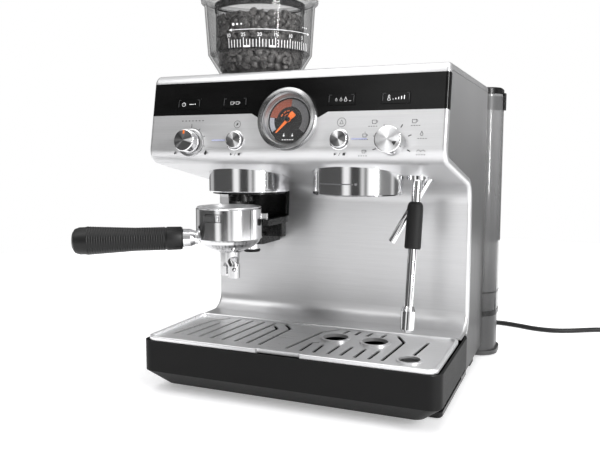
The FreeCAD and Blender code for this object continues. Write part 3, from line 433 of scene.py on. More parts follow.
# The white print glows a little: painted light, though it is no lamp.
PRINT_WHITE = lacquer("print_white", (0.80, 0.80, 0.81), 0.5, 0.25)
PRINT_GREY = lacquer("print_grey", (0.13, 0.13, 0.135), 0.5)
PRINT_LIGHT = lacquer("print_light", (0.33, 0.34, 0.38), 0.5)
PRINT_RUST = lacquer("print_rust", (0.26, 0.062, 0.032), 0.5)
LIGHT_BAR = lacquer("light_bar", (0.42, 0.44, 0.62), 0.25)
BEAN = bean_skin()
BURR_STEEL = cast("burr_steel", grey(0.5), 0.35)
MOTOR_STEEL = cast("motor_paint", (0.10, 0.105, 0.115), 0.45, 0.0)
BRASS = cast("brass_cast", (0.62, 0.44, 0.18), 0.35)
ALU = cast("aluminium_cast", grey(0.6), 0.45)
BOARD = circuit_board()

BY_SLOT = {
    "cover_steel": COVER_STEEL, "side_steel": SIDE_STEEL, "plate_steel": PLATE_STEEL,
    "chrome": CHROME, "spun_chrome": CHROME, "band_black": BAND, "black_satin": BLACK_SATIN,
    "tray_black": TRAY_BLACK, "smoke_clear": HOPPER_CLEAR, "lens": LENS, "dial_black": DIAL_BLACK,
    "needle_orange": NEEDLE_ORANGE, "rubber_black": RUBBER, "grip_black": GRIP_BLACK,
    "zinc_frame": INNER_STEEL, "burr_steel": BURR_STEEL, "motor_steel": MOTOR_STEEL,
    "brass": BRASS, "alu": ALU, "board_green": BOARD, "hose_white": HOSE_WHITE,
    "bean_brown": BEAN, "cord_black": CORD_RUBBER,
}
BY_NODE = {
    "water_tank": TANK_SMOKE, "hopper_lid": LID_CLEAR, "wand_socket": CHROME,
    "portafilter_body": SATIN_CHROME, "portafilter_spout": CAST_CHROME,
    "group_collar": SATIN_CHROME, "grinder_collar": SATIN_CHROME,
    "rear_dock": DOCK_GREY, "water_float": TRAY_BLACK,
}

SLOT_OF = {part["node"]: part["material_slot"] for part in frame["record"]["subparts"]}
for name, node in NODES.items():
    node.data.materials.clear()
    node.data.materials.append(BY_NODE.get(name, BY_SLOT[SLOT_OF[name]]))


# ---- mesh helpers
SHARP = math.radians(32)        # edges that turn more than this stay crisp
ON_AXIS = 1e-6
INK_LOW, INK_HIGH = 0.02, 0.09  # a print's back and face above the surface that it is on, mm
LOCAL = Matrix.Scale(MM, 4)


def finish_piece(name, bm, body, material, matrix=None):
    """Turn a bmesh into a shaded piece that rides on a body."""
    bmesh.ops.recalc_face_normals(bm, faces=bm.faces)
    for face in bm.faces:
        face.smooth = True
    for edge in bm.edges:
        if len(edge.link_faces) == 2 and edge.calc_face_angle(0) > SHARP:
            edge.smooth = False
    mesh = bpy.data.meshes.new(name)
    bm.to_mesh(mesh)
    bm.free()
    mesh.materials.append(material)
    piece = new_object(name, mesh)
    if matrix is not None:
        piece.matrix_world = matrix
    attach(piece, body)
    return piece


def revolve(bm, profile, matrix, steps=96):
    """Turn an (r, z) outline in mm, closed on itself or at the axis, about the matrix's Z axis."""
    rings = []
    for r, z in profile:
        if r < ON_AXIS:
            rings.append([bm.verts.new(matrix @ Vector((0, 0, z)))])
            continue
        turn = [2 * math.pi * i / steps for i in range(steps)]
        rings.append([bm.verts.new(matrix @ Vector((r * math.cos(a), r * math.sin(a), z))) for a in turn])
    closed = len(rings[0]) > 1 or len(rings[-1]) > 1
    pairs = list(zip(rings, rings[1:]))
    if closed:
        pairs.append((rings[-1], rings[0]))
    for lower, upper in pairs:
        for i in range(steps):
            j = (i + 1) % steps
            corners = [lower[i % len(lower)], lower[j % len(lower)],
                       upper[j % len(upper)], upper[i % len(upper)]]
            unique = list(dict.fromkeys(corners))
            if len(unique) > 2:
                bm.faces.new(unique)


def bridge(bm, lower, upper):
    """A wall between two closed rings of corners."""
    for i in range(len(lower)):
        j = (i + 1) % len(lower)
        bm.faces.new((lower[i], lower[j], upper[j], upper[i]))


def slab(bm, outline, matrix, low=INK_LOW, high=INK_HIGH):
    """A flat plate: a closed (x, y) outline in mm between two heights of the matrix's frame."""
    bottom = [bm.verts.new(matrix @ Vector((x, y, low))) for x, y in outline]
    top = [bm.verts.new(matrix @ Vector((x, y, high))) for x, y in outline]
    bm.faces.new(bottom[::-1])
    bm.faces.new(top)
    bridge(bm, bottom, top)


def evenly(start, end, steps):
    """Numbers in equal steps from start to end."""
    return [start + (end - start) * i / steps for i in range(steps + 1)]


def arc(centre, radius, start, end, steps):
    """Points of a circle in mm; angles in degrees from +X."""
    angles = [math.radians(degrees) for degrees in evenly(start, end, steps)]
    return [(centre[0] + radius * math.cos(a), centre[1] + radius * math.sin(a)) for a in angles]


def polar(radius, degrees):
    """A point of the plane, its angle from +X."""
    a = math.radians(degrees)
    return (radius * math.cos(a), radius * math.sin(a))


def stroke(bm, points, width, matrix, low=INK_LOW, high=INK_HIGH, closed=False):
    """A line of constant width through the points, as a thin raised print."""
    pts = [Vector(p) for p in points]
    count = len(pts)
    left, right = [], []
    for i, p in enumerate(pts):
        before = pts[(i - 1) % count] if closed or i else None
        after = pts[(i + 1) % count] if closed or i < count - 1 else None
        into = (p - before).normalized() if before is not None else None
        out = (after - p).normalized() if after is not None else None
        along = ((into or out) + (out or into)).normalized()
        side = Vector((-along.y, along.x))
        sharpness = max(0.45, side.dot(Vector((-(into or out).y, (into or out).x))))
        offset = side * (width / 2 / sharpness)
        left.append(p + offset)
        right.append(p - offset)
    runs = range(count if closed else count - 1)
    for i in runs:
        j = (i + 1) % count
        slab(bm, [right[i], right[j], left[j], left[i]], matrix, low, high)
    bmesh.ops.remove_doubles(bm, verts=bm.verts, dist=1e-7)


def disc(bm, centre, radius, matrix, low=INK_LOW, high=INK_HIGH):
    """A round spot."""
    slab(bm, arc(centre, radius, 0, 345, 23), matrix, low, high)


def dashes(bm, m, x, y, count, step, length, width):
    """A dashed line that runs to the right from x."""
    for i in range(count):
        stroke(bm, [(x + step * i, y), (x + step * i + length, y)], width, m)


# ---- the control panel
PANEL_LEAN = math.radians(10.64)
PANEL_AT = (-145.5, 257.5)      # (y, z) of a point on the panel, mm
OUTWARD = Vector((0, -math.cos(PANEL_LEAN), math.sin(PANEL_LEAN)))
UPWARD = Vector((0, math.sin(PANEL_LEAN), math.cos(PANEL_LEAN)))
KEY_Z, BUTTON_Z = 302.0, 264.8
GAUGE, DOSE, SELECT = (2.3, 284.3), (-105.0, 263.0), (105.8, 261.5)     # (x, z)


def panel(x, z, out=0.0):
    """The frame of a place on the control panel: X right, Y up along it, Z out; mm in, metres out."""
    y = PANEL_AT[0] + (z - PANEL_AT[1]) * math.tan(PANEL_LEAN)
    origin = (Vector((x, y, z)) + OUTWARD * out) * MM
    axes = Matrix((Vector((1, 0, 0)), UPWARD, OUTWARD)).transposed()
    return Matrix.Translation(origin) @ axes.to_4x4() @ Matrix.Scale(MM, 4)


def placed(matrix):
    """The same frame without its scale, to carry a mesh that is in metres."""
    return Matrix.Translation(matrix.to_translation()) @ matrix.to_quaternion().to_matrix().to_4x4()


def upright(place):
    """A frame with an upright Z axis over a place (x, y) in mm, without scale."""
    return Matrix.Translation(Vector((*place, 0)) * MM)


def printed(name, body, material, draw, matrix):
    """A print that draw(bm, matrix) makes on a flat face."""
    bm = bmesh.new()
    draw(bm, matrix)
    finish_piece(name, bm, body, material)


def cup_icon(bm, m, x, y, size, steam=False):
    """A small cup with a handle, and steam above it."""
    w = 0.34 * size
    cup = [(x + u * size, y + v * size) for u, v in ((-2.0, 1.3), (-1.6, -1.5), (1.3, -1.5), (1.7, 1.3))]
    stroke(bm, cup, w, m, closed=True)
    stroke(bm, arc((x + 1.7 * size, y + 0.2 * size), 0.9 * size, -70, 70, 6), w, m)
    if steam:
        stroke(bm, [(x + u * size, y + v * size) for u, v in ((0, 2.0), (0.3, 2.7), (0, 3.4))], w, m)


def drop_icon(bm, m, x, y, size):
    """The outline of a drop."""
    points = arc((x, y - 0.5 * size), 1.1 * size, -220, 40, 12) + [(x, y + 1.9 * size)]
    stroke(bm, points, 0.34 * size, m, closed=True)


def ring_icon(bm, m, radius):
    stroke(bm, arc((0, 0), radius, 0, 345, 23), 0.36, m, closed=True)


def key_corners(bm, m):
    """The fine marks at the corners of a touch key."""
    for sx in (-1, 1):
        stroke(bm, [(sx * 12.2, 3.8), (sx * 12.2, -2.4)], 0.22, m)
        stroke(bm, [(sx * 12.2, 4.4), (sx * 9.6, 4.4)], 0.16, m)


def power_mark(bm, m):
    stroke(bm, arc((-6.2, 0), 1.9, 125, 415, 18), 0.5, m)
    stroke(bm, [(-6.2, 0.6), (-6.2, 2.5)], 0.5, m)
    stroke(bm, [(0.4, 0), (5.4, 0)], 0.5, m)
    disc(bm, (7.2, 0), 0.55, m)


def cups_mark(bm, m):
    cup_icon(bm, m, -2.9, -0.1, 0.95)
    cup_icon(bm, m, 3.0, -0.1, 0.95)


def infusion_mark(bm, m):
    for i, size in enumerate((0.75, 0.95, 1.15)):
        drop_icon(bm, m, -5.0 + 4.6 * i, -0.2, size)
    stroke(bm, [(7.6, -1.5), (9.4, -1.5)], 0.4, m)


def heat_mark(bm, m):
    stroke(bm, arc((-6.4, -1.4), 1.25, 115, 425, 14), 0.42, m)
    stroke(bm, [(-7.0, -0.3), (-7.0, 2.0), (-6.4, 2.6), (-5.8, 2.0), (-5.8, -0.3)], 0.4, m)
    for i in range(5):
        stroke(bm, [(-2.6 + 2.6 * i, -1.6), (-2.6 + 2.6 * i, -1.0 + 0.75 * i)], 0.7, m)


KEYS = {"power_key": (-110.0, power_mark), "cups_key": (-57.0, cups_mark),
        "infusion_key": (55.0, infusion_mark), "heat_key": (107.0, heat_mark)}
KEY_PROUD = 0.5
for key, (key_x, draw_mark) in KEYS.items():
    on_key = panel(key_x, KEY_Z, KEY_PROUD)
    printed(key + "_mark", key, PRINT_WHITE, draw_mark, on_key)
    printed(key + "_corners", key, PRINT_GREY, key_corners, on_key)

BUTTON_XS = {"grind": -53.7, "brew": 55.6}


def button_mark_left(bm, m):
    ring_icon(bm, m, 3.6)
    slab(bm, [(-1.1, -1.6), (0.9, -0.4), (1.2, 1.5), (-0.6, 0.9)], m)


def button_mark_right(bm, m):
    ring_icon(bm, m, 4.2)
    stroke(bm, [(-1.7, -1.5), (0, 2.1), (1.7, -1.5)], 0.36, m, closed=True)


def start_stop(bm, m):
    """Play triangle and stop square with a bar between them."""
    slab(bm, [(-5.6, -1.3), (-3.1, 0.0), (-5.6, 1.3)], m)
    stroke(bm, [(-0.9, -1.5), (0.5, 1.5)], 0.4, m)
    slab(bm, [(3.0, -1.2), (5.4, -1.2), (5.4, 1.2), (3.0, 1.2)], m)


ICON_UP, START_STOP_DOWN, LIGHT_ASIDE = 16, 13.5, 19        # from the button's middle, mm
for tag, mark in (("grind", button_mark_left), ("brew", button_mark_right)):
    x = BUTTON_XS[tag] + 1
    printed(tag + "_icon", "machine", PRINT_BLACK, mark, panel(x, BUTTON_Z + ICON_UP))
    printed(tag + "_start_stop", "machine", PRINT_BLACK, start_stop, panel(x, BUTTON_Z - START_STOP_DOWN))


def light_bar(bm, m):
    """A slim light beside a button, a little prouder than a print."""
    slab(bm, [(-7.5, -0.7), (7.5, -0.7), (7.5, 0.7), (-7.5, 0.7)], m, high=0.35)


for tag, side in (("grind", -1), ("brew", 1)):
    beside = panel(BUTTON_XS[tag] + side * LIGHT_ASIDE, BUTTON_Z + 0.5)
    printed(tag + "_light", "machine", LIGHT_BAR, light_bar, beside)


def dose_ticks(bm, m):
    """Ticks, an arc from a small drop to a large one, and a dashed line above."""
    for angle, reach in ((90, 19.5), (55, 17.6), (22, 17.6), (-12, 17.6)):
        stroke(bm, [polar(15.3, angle), polar(reach, angle)], 0.55, m)
    stroke(bm, arc((0, 0), 15.2, -35, 88, 16), 0.3, m)
    for x, size in ((-17.5, 1.0), (18.5, 1.55)):
        points = arc((x, -11), 1.0 * size, -220, 40, 12) + [(x, -11 + 2.2 * size)]
        slab(bm, points, m)
    dashes(bm, m, -12.0, 22.6, 7, 4.0, 1.6, 0.8)


printed("dose_scale", "machine", PRINT_BLACK, dose_ticks, panel(*DOSE))
SELECT_ANGLES = (117, 160, 200, 62, 22, -25)


def select_ticks(bm, m):
    for angle in SELECT_ANGLES:
        stroke(bm, [polar(15.6, angle), polar(18.8, angle)], 0.85, m)


def select_icons(bm, m):
    """A picture and a dashed line at each place of the selector."""
    cup_icon(bm, m, -17.5, 19.5, 1.15)
    cup_icon(bm, m, -26.0, 7.0, 1.0, steam=True)
    cup_icon(bm, m, -26.0, -8.0, 0.9)
    cup_icon(bm, m, 19.5, 19.5, 1.1)
    drop_icon(bm, m, 26.5, 8.0, 1.1)
    stroke(bm, [(22.5, -8), (24.5, -6.6), (26.5, -8), (28.5, -6.6), (30.5, -8)], 0.34, m)
    for x, y in ((-19.0, 15.4), (-27.0, 3.2), (-27.0, -12.0), (20.5, 15.4), (27.0, 3.6), (26.5, -11.0)):
        dashes(bm, m, x - 4.0, y, 4, 2.3, 1.3, 0.55)


printed("selector_scale", "machine", PRINT_BLACK, select_ticks, panel(*SELECT))
printed("selector_icons", "machine", PRINT_BLACK, select_icons, panel(*SELECT))


# ---- knobs and buttons
def turned_piece(name, body, profile, material, at, steps=96):
    """A turned piece, its own Z axis along that of the frame at."""
    bm = bmesh.new()
    revolve(bm, profile, LOCAL, steps)
    return finish_piece(name, bm, body, material, placed(at))


DOSE_R, DOSE_PROUD = 11.3, 14.0
SELECT_R, SELECT_PROUD = 12.3, 17.0
BUTTON_R, BUTTON_PROUD = 8.3, 5.0
FACE_LOW, FACE_HIGH = 0.26, 0.36        # a pointer on a knob's turned face
SELECT_POINTS = 62                      # degrees that the selector's pointer is turned at rest


def face_profile(radius, height):
    """A thin turned cap lying on a knob's flat end."""
    return [(0, 0.02), (radius - 0.5, 0.02), (radius - 0.2, 0.14), (radius - 0.5, 0.26), (0, height)]


turned_piece("dose_face", "dose_knob", face_profile(DOSE_R - 1.0, 0.28), SPUN_DARK_PAINTED_REFLECTION,
             panel(*DOSE, DOSE_PROUD))
turned_piece("selector_face", "selector_knob", face_profile(SELECT_R - 1.0, 0.28), SPUN_BRIGHT_PAINTED_REFLECTION,
             panel(*SELECT, SELECT_PROUD))
for tag, x in BUTTON_XS.items():
    turned_piece(tag + "_face", tag + "_button", face_profile(BUTTON_R - 0.7, 0.2), SPUN_BOW_PAINTED_HIGHLIGHT,
                 panel(x, BUTTON_Z, BUTTON_PROUD))
    turned_piece(tag + "_trim", "machine",
                 [(8.7, 0.05), (9.9, 0.05), (9.8, 0.5), (9.3, 0.8), (8.8, 0.5)], CHROME,
                 panel(x, BUTTON_Z))
turned_piece("dose_skirt", "machine", [(11.9, 0.05), (14.6, 0.05), (14.4, 0.7), (13.8, 1.0), (12.2, 1.0)],
             SATIN_RING, panel(*DOSE))


def dose_pointer(bm, m):
    slab(bm, [(-1.0, 6.4), (1.0, 6.4), (0.8, 10.0), (-0.8, 10.0)], m, FACE_LOW, FACE_HIGH)


def select_pointer(bm, m):
    slab(bm, [(-2.2, -8.6), (2.2, -8.6), (0.7, -5.4), (-0.7, -5.4)], m, FACE_LOW, FACE_HIGH)


printed("dose_pointer", "dose_knob", NEEDLE_ORANGE, dose_pointer, panel(*DOSE, DOSE_PROUD))
select_turned = panel(*SELECT, SELECT_PROUD) @ Matrix.Rotation(math.radians(SELECT_POINTS), 4, "Z")
printed("selector_pointer", "selector_knob", PRINT_BLACK, select_pointer, select_turned)


# ---- gauge
DIAL_OUT = -1.6
DIAL_ARC_R, DIAL_ARC_HIGH = 20.4, 0.10
on_dial = panel(*GAUGE, DIAL_OUT)


def dial_arc(inner_r, start, end):
    """A drawing of part of a flat ring, between two angles."""
    def draw(bm, m):
        steps = max(2, int(abs(end - start) / 5))
        outer = arc((0, 0), DIAL_ARC_R, start, end, steps)
        inner = arc((0, 0), inner_r, start, end, steps)
        for i in range(steps):
            slab(bm, [inner[i], outer[i], outer[i + 1], inner[i + 1]], m, high=DIAL_ARC_HIGH)
    return draw


def dial_marks(bm, m):
    """Short arcs over the needle's hub."""
    for angle in (98, 122, 148):
        stroke(bm, arc((0, 0), 9.2, angle - 8, angle + 9, 4), 1.2, m)
    stroke(bm, arc((0, 0), 6.4, 105, 140, 4), 0.9, m)


def dial_symbols(bm, m):
    """Two drops, a dashed line under them and the ring round the dial."""
    for x in (-4.5, 4.5):
        disc(bm, (x, -15.2), 0.95, m)
        stroke(bm, [(x, -14.6), (x, -13.0)], 0.6, m)
    dashes(bm, m, -6.2, -19.2, 5, 2.6, 1.6, 0.8)
    stroke(bm, arc((0, 0), 22.4, -52, 232, 60), 0.28, m)


printed("dial_arc", "machine", PRINT_GREY, dial_arc(13.6, 84, -38), on_dial)
printed("dial_light_arc", "machine", PRINT_LIGHT, dial_arc(15.6, 172, 214), on_dial)
printed("dial_warm_arc", "machine", PRINT_RUST, dial_arc(13.0, 84, 171), on_dial)
printed("dial_marks", "machine", NEEDLE_ORANGE, dial_marks, on_dial)
printed("dial_symbols", "machine", PRINT_WHITE, dial_symbols, on_dial)
turned_piece("dial_rim", "machine", [(22.9, 0.05), (25.3, 0.05), (25.3, 4.2), (24.6, 4.2), (24.1, 2.4)],
             SATIN_RING, on_dial)
turned_piece("bezel_skin", "machine", [
    (25.6, 6.52), (28.7, 6.54), (29.86, 6.06), (30.34, 4.9), (30.34, 0.3), (30.42, 0.3), (30.42, 4.92),
    (29.92, 6.14), (28.72, 6.64), (25.6, 6.62)], RIM_CHROME_PAINTED_HIGHLIGHT, panel(*GAUGE))
turned_piece("needle_hub", "gauge_needle", [(0, 0), (2.5, 0), (2.5, 0.5), (1.9, 0.9), (0, 1.0)],
             BLACK_SATIN, panel(*GAUGE, 2.0), 32)


# ---- hopper: beans and prints
HOPPER = (-78.0, -37.0)         # its axis
FACING = 26.1                   # degrees from -Y towards +X of the side that carries the print
BEAN_HALF = (5.2, 3.8, 2.9)
BEAN_ROUND = (270, 283, 305, 335, 5, 40, 75, 105, 140, 175, 205, 235, 257)     # degrees round a bean
CREASE, CREASE_DEPTH, FLAT_DEPTH = 270, 0.30, 0.62      # the crease, and how far its side is flattened
BEAN_RINGS = 5


def bean(bm, rng, centre, outward):
    """One creased bean, its length in the plane across the outward direction."""
    half = [v * rng.uniform(0.88, 1.1) for v in BEAN_HALF]
    spin = Matrix.Rotation(rng.uniform(0, 2 * math.pi), 3, "Z")
    tip = Matrix.Rotation(rng.gauss(0, 0.35), 3, "X")
    flip = Matrix.Rotation(math.pi * rng.randint(0, 1), 3, "X")
    place = outward.to_track_quat("Z", "Y").to_matrix() @ tip @ spin @ flip
    rings = []
    for i in range(BEAN_RINGS):
        along = math.pi * (i + 1) / (BEAN_RINGS + 1)
        ring = []
        for degrees in BEAN_ROUND:
            a = math.radians(degrees)
            x, y, z = math.cos(along), math.sin(along) * math.cos(a), math.sin(along) * math.sin(a)
            if z < 0:
                z *= FLAT_DEPTH if degrees != CREASE else CREASE_DEPTH
            at = centre + place @ Vector((x * half[0], y * half[1], z * half[2]))
            ring.append(bm.verts.new(at * MM))
        rings.append(ring)
    ends = [bm.verts.new((centre + place @ Vector((side * half[0], 0, 0))) * MM) for side in (1, -1)]
    count = len(BEAN_ROUND)
    for i in range(count):
        j = (i + 1) % count
        bm.faces.new((ends[0], rings[0][i], rings[0][j]))
        bm.faces.new((ends[1], rings[-1][j], rings[-1][i]))
        for lower, upper in zip(rings, rings[1:]):
            bm.faces.new((lower[j], lower[i], upper[i], upper[j]))


def make_beans():
    """Rows of beans against the funnel and the bin, a loose layer on top and a plain core behind them."""
    rng = random.Random(11)
    axis = Vector((*HOPPER, 0))
    bm = bmesh.new()
    rows, first_z, row_step, bean_step = 10, 347.5, 5.9, 8.6
    bin_r, funnel_z, funnel_r, funnel_flare = 45.2, 346.0, 41.0, 0.64
    top_beans, top_r, top_z = 70, 44.0, 402.0
    for row in range(rows):
        z = first_z + row * row_step
        radius = min(bin_r, funnel_r + (z - funnel_z) * funnel_flare)
        count = int(2 * math.pi * radius / bean_step)
        for i in range(count):
            a = 2 * math.pi * (i + 0.5 * (row % 2) + rng.uniform(-0.25, 0.25)) / count
            outward = Vector((math.cos(a), math.sin(a), rng.gauss(0, 0.3)))
            lift = rng.uniform(-1.4, 1.4)
            centre = axis + Vector((math.cos(a), math.sin(a), 0)) * (radius + rng.uniform(-1.2, 0.6))
            bean(bm, rng, centre + Vector((0, 0, z + lift)), outward)
    for _ in range(top_beans):
        radius, a = top_r * math.sqrt(rng.random()), rng.uniform(0, 2 * math.pi)
        centre = axis + Vector((radius * math.cos(a), radius * math.sin(a), top_z + rng.uniform(-1.5, 2.5)))
        bean(bm, rng, centre, Vector((rng.gauss(0, 0.3), rng.gauss(0, 0.3), 1.0)))
    core = [(0, 338), (34, 340), (42.0, 352), (42.0, 397), (36, 400), (0, 401)]
    revolve(bm, core, upright(HOPPER) @ LOCAL, 48)
    beans = finish_piece("hopper_beans", bm, "hopper", BEAN)
    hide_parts("coffee_beans")


make_beans()
BIN_WALL = [(48.9, 363), (49.5, 363), (49.5, 417), (48.9, 417)]
FUNNEL_RING = [(49.4, 361.4), (56.0, 362.6), (56.0, 363.6), (49.4, 362.8)]
turned_piece("hopper_bin", "hopper", BIN_WALL, BIN_CLEAR, upright(HOPPER))
turned_piece("hopper_funnel_ring", "hopper", FUNNEL_RING, BIN_CLEAR, upright(HOPPER))


def wall_print(name, body, material, draw, axis, radius_at, mm_per_degree):
    """A print on an upright wall: x is drawn in mm round it from -Y towards +X, y up it and z out."""
    bm = bmesh.new()
    draw(bm, Matrix.Identity(4))
    for vert in bm.verts:
        vert.co.x /= mm_per_degree
        degrees, height, out = vert.co
        a, r = math.radians(degrees), radius_at(height) + out
        vert.co = Vector((axis[0] + r * math.sin(a), axis[1] - r * math.cos(a), height)) * MM
    finish_piece(name, bm, body, material)


HOPPER_MM = math.radians(1) * 60.0     # mm of hopper wall in a degree


def hopper_wall(z):
    """Radius of the hopper's outer wall, and a hair more."""
    return 58.52 + (z - 362.0) * 0.0673


def unit_at(unit):
    """Where a unit of the scale lies round the hopper, in mm."""
    return (FACING - 34.0 + (30 - unit) * 3.33) * HOPPER_MM


def digits(bm, text, x, y, height):
    """Plain numerals as thin raised print."""
    curve = bpy.data.curves.new("numeral", "FONT")
    curve.body, curve.size, curve.extrude = text, height * 1.42, 0.03
    curve.align_x, curve.align_y = "CENTER", "CENTER"
    carrier = bpy.data.objects.new("numeral", curve)
    mesh = bpy.data.meshes.new_from_object(carrier)
    mesh.transform(Matrix.Translation((x, y, 0.05)))
    bm.from_mesh(mesh)
    bpy.data.objects.remove(carrier)
    bpy.data.curves.remove(curve)
    bpy.data.meshes.remove(mesh)


def hopper_scale(bm, m):
    """Ticks with a numeral at each fifth, and two thick bars under the usual settings."""
    for unit in range(2, 31):
        top = 373.2 if unit % 5 == 0 else 371.4
        stroke(bm, [(unit_at(unit), 363.4), (unit_at(unit), top)], 0.75, m)
    for first, last in ((25, 23), (17, 15)):
        stroke(bm, [(unit_at(first), 364.2), (unit_at(last), 364.2)], 1.9, m)
    for unit in range(5, 31, 5):
        digits(bm, str(unit), unit_at(unit), 376.0, 3.7)


def hopper_arrow(bm, m):
    """The arrow from coarse, large dots, to fine, small ones."""
    left, right, y = (FACING - 33.6) * HOPPER_MM, (FACING + 63.0) * HOPPER_MM, 381.4
    stroke(bm, [(x, y) for x in evenly(left + 3, right - 3, 24)], 0.6, m)
    for tip, way in ((left, 1), (right, -1)):
        head = [(tip, y), (tip + way * 4.0, y - 1.5), (tip + way * 4.0, y + 1.5)]
        slab(bm, head[::way], m)
    for i, radius in enumerate((1.5, 1.15, 0.85)):
        disc(bm, (left + 6 + 4.6 * i, 387.0), radius, m)
    for i, radius in enumerate((0.5, 0.7, 0.85)):
        disc(bm, (right - 14 + 3.4 * i, 387.0), radius, m)


wall_print("hopper_scale", "hopper", PRINT_WHITE, hopper_scale, HOPPER, hopper_wall, HOPPER_MM)
wall_print("hopper_arrow", "hopper", PRINT_WHITE, hopper_arrow, HOPPER, hopper_wall, HOPPER_MM)


def lid_skirt(bm, m):
    """The lid's dark skirt, which reaches down round the bin and is open at the back."""
    reach, low, high, thick = 100, 409.2, 417.6, 0.7
    edge = evenly(FACING - reach, FACING + reach, 40)
    for a, b in zip(edge, edge[1:]):
        slab(bm, [(a, low), (b, low), (b, high), (a, high)], m, 0.0, thick)


SKIRT_R = 49.7
wall_print("lid_skirt", "hopper_lid", LID_SMOKE, lid_skirt, HOPPER, lambda z: SKIRT_R, 1.0)

# ---- collar marks
GROUP = (52.0, -76.0)
COLLAR_R = 46.8
COLLAR_MM = math.radians(1) * COLLAR_R


def lock_mark(bm, m):
    """The line that shows which way the filter holder locks."""
    start, end, y = -36.0 * COLLAR_MM, 12.0 * COLLAR_MM, 222.3
    stroke(bm, [(x, y) for x in evenly(start, end, 14)], 1.1, m)
    disc(bm, (end + 2.6, y), 1.4, m)
    stroke(bm, [(start - 1.6, y - 1.6), (start - 1.6, y + 1.6)], 0.8, m)


wall_print("lock_mark", "machine", PRINT_GREY, lock_mark, GROUP, lambda z: COLLAR_R + INK_LOW, COLLAR_MM)

# ---- filter holder's grip
FILTER = (-80.0, -110.0)
HANDLE_FROM = Vector((*FILTER, 164.0))
HANDLE_TURN, HANDLE_DROOP = math.radians(210), math.radians(0.8)
handle_way = Vector((math.cos(HANDLE_TURN) * math.cos(HANDLE_DROOP),
                     math.sin(HANDLE_TURN) * math.cos(HANDLE_DROOP), -math.sin(HANDLE_DROOP)))
along_handle = Matrix.Translation(HANDLE_FROM * MM) @ handle_way.to_track_quat("Z", "Y").to_matrix().to_4x4()
GRIP_OUTLINE = [(50.8, 12.2), (66.0, 12.4), (96.0, 12.4), (124.0, 13.8), (146.0, 15.0)]     # (along, radius)


def grip_radius(t):
    """The grip's radius so far along the handle."""
    for (t0, r0), (t1, r1) in zip(GRIP_OUTLINE, GRIP_OUTLINE[1:]):
        if t <= t1:
            return r0 + (r1 - r0) * (t - t0) / (t1 - t0)
    return GRIP_OUTLINE[-1][1]


def grip_profile():
    """A smooth collar, then fine rings all the way to a rounded end."""
    pitch, groove, first, last = 2.5, 0.45, 67.0, 145.0
    profile = [(7.0, 49.2), (11.2, 49.2), (12.2, 50.8), (12.4, 65.0), (11.7, 66.0), (11.7, first)]
    t = first
    while t < last:
        r = grip_radius(t)
        profile += [(r - groove, t + 0.3), (r - 0.1, t + 0.8), (r, t + 1.3), (r - 0.1, t + 1.8)]
        t += pitch
    profile += [(14.3, 149.0), (14.2, 154.5), (12.6, 159.0), (9.4, 161.2), (5.0, 161.9), (0, 161.95)]
    return profile + [(0, 62.6), (7.0, 62.6)]


grip = turned_piece("ribbed_grip", "portafilter", grip_profile(), GRIP_BLACK, along_handle, 72)
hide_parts("portafilter_handle")


def front_lug_line(bm, m):
    """The line round the foot of the lug that faces the user."""
    low, high = 182.4, 190.2
    across = evenly(-9.0, 9.0, 10)
    stroke(bm, [(x, low) for x in across] + [(x, high) for x in reversed(across)], 0.7, m, -0.2, 0.12, True)


def outlet_screw(bm, m):
    """The dark screw head in the front of the right outlet."""
    disc(bm, (28.0 * OUTLET_MM, 131.0), 2.2, m, 0.0, 0.12)


CUP_R, OUTLET_R = 35.0, 6.0
CUP_MM, OUTLET_MM = math.radians(1) * CUP_R, math.radians(1) * OUTLET_R
OUTLET_TURN, OUTLET_OFF = math.radians(325), 10.5
outlet = (FILTER[0] + OUTLET_OFF * math.cos(OUTLET_TURN), FILTER[1] + OUTLET_OFF * math.sin(OUTLET_TURN))
wall_print("front_lug_line", "portafilter", BLACK_SATIN, front_lug_line, FILTER, lambda z: CUP_R + 0.05,
           CUP_MM)
wall_print("outlet_screw", "portafilter", BLACK_SATIN, outlet_screw, outlet, lambda z: OUTLET_R + INK_LOW,
           OUTLET_MM)

# ---- tamper
TAMPER = (-95.0, -28.0)
TAMPER_RING = [(8.6, 136.96), (9.1, 136.96), (10.12, 138.2), (10.12, 139.4), (9.2, 140.36), (8.6, 140.36)]
turned_piece("tamper_foot", "tamper", TAMPER_RING, RUBBER, upright(TAMPER), 64)

# ---- water tank
TANK_HALF, TANK_FRONT, TANK_BACK, TANK_CORNER = 169.5, 110.0, 171.0, 22.0


def tank_outline(proud):
    """The tank's outline in plan, so much outside it, anticlockwise from the front of its right side."""
    half, front, back, r = TANK_HALF + proud, TANK_FRONT - proud, TANK_BACK + proud, TANK_CORNER + proud
    corners = (((half - r, front + r), -90), ((half - r, back - r), 0), ((r - half, back - r), 90),
               ((r - half, front + r), 180))
    return [p for centre, start in corners for p in arc(centre, r, start, start + 90, 10)]


def tank_band(name, low_z, high_z, proud, material):
    """A closed band round the tank."""
    bm = bmesh.new()
    inner, outer = tank_outline(0.02), tank_outline(proud)
    rings = [[bm.verts.new((x * MM, y * MM, z * MM)) for x, y in outline]
             for outline, z in ((inner, low_z), (outer, low_z), (outer, high_z), (inner, high_z))]
    for lower, upper in zip(rings, rings[1:] + rings[:1]):
        bridge(bm, lower, upper)
    finish_piece(name, bm, "water_tank", material)


tank_band("tank_neck", 305.0, 321.5, 0.35, TANK_TRIM)
tank_band("tank_seam", 79.0, 80.6, 0.3, BLACK_SATIN)
tank_band("tank_foot", 50.4, 56.5, 0.4, BLACK_SATIN)
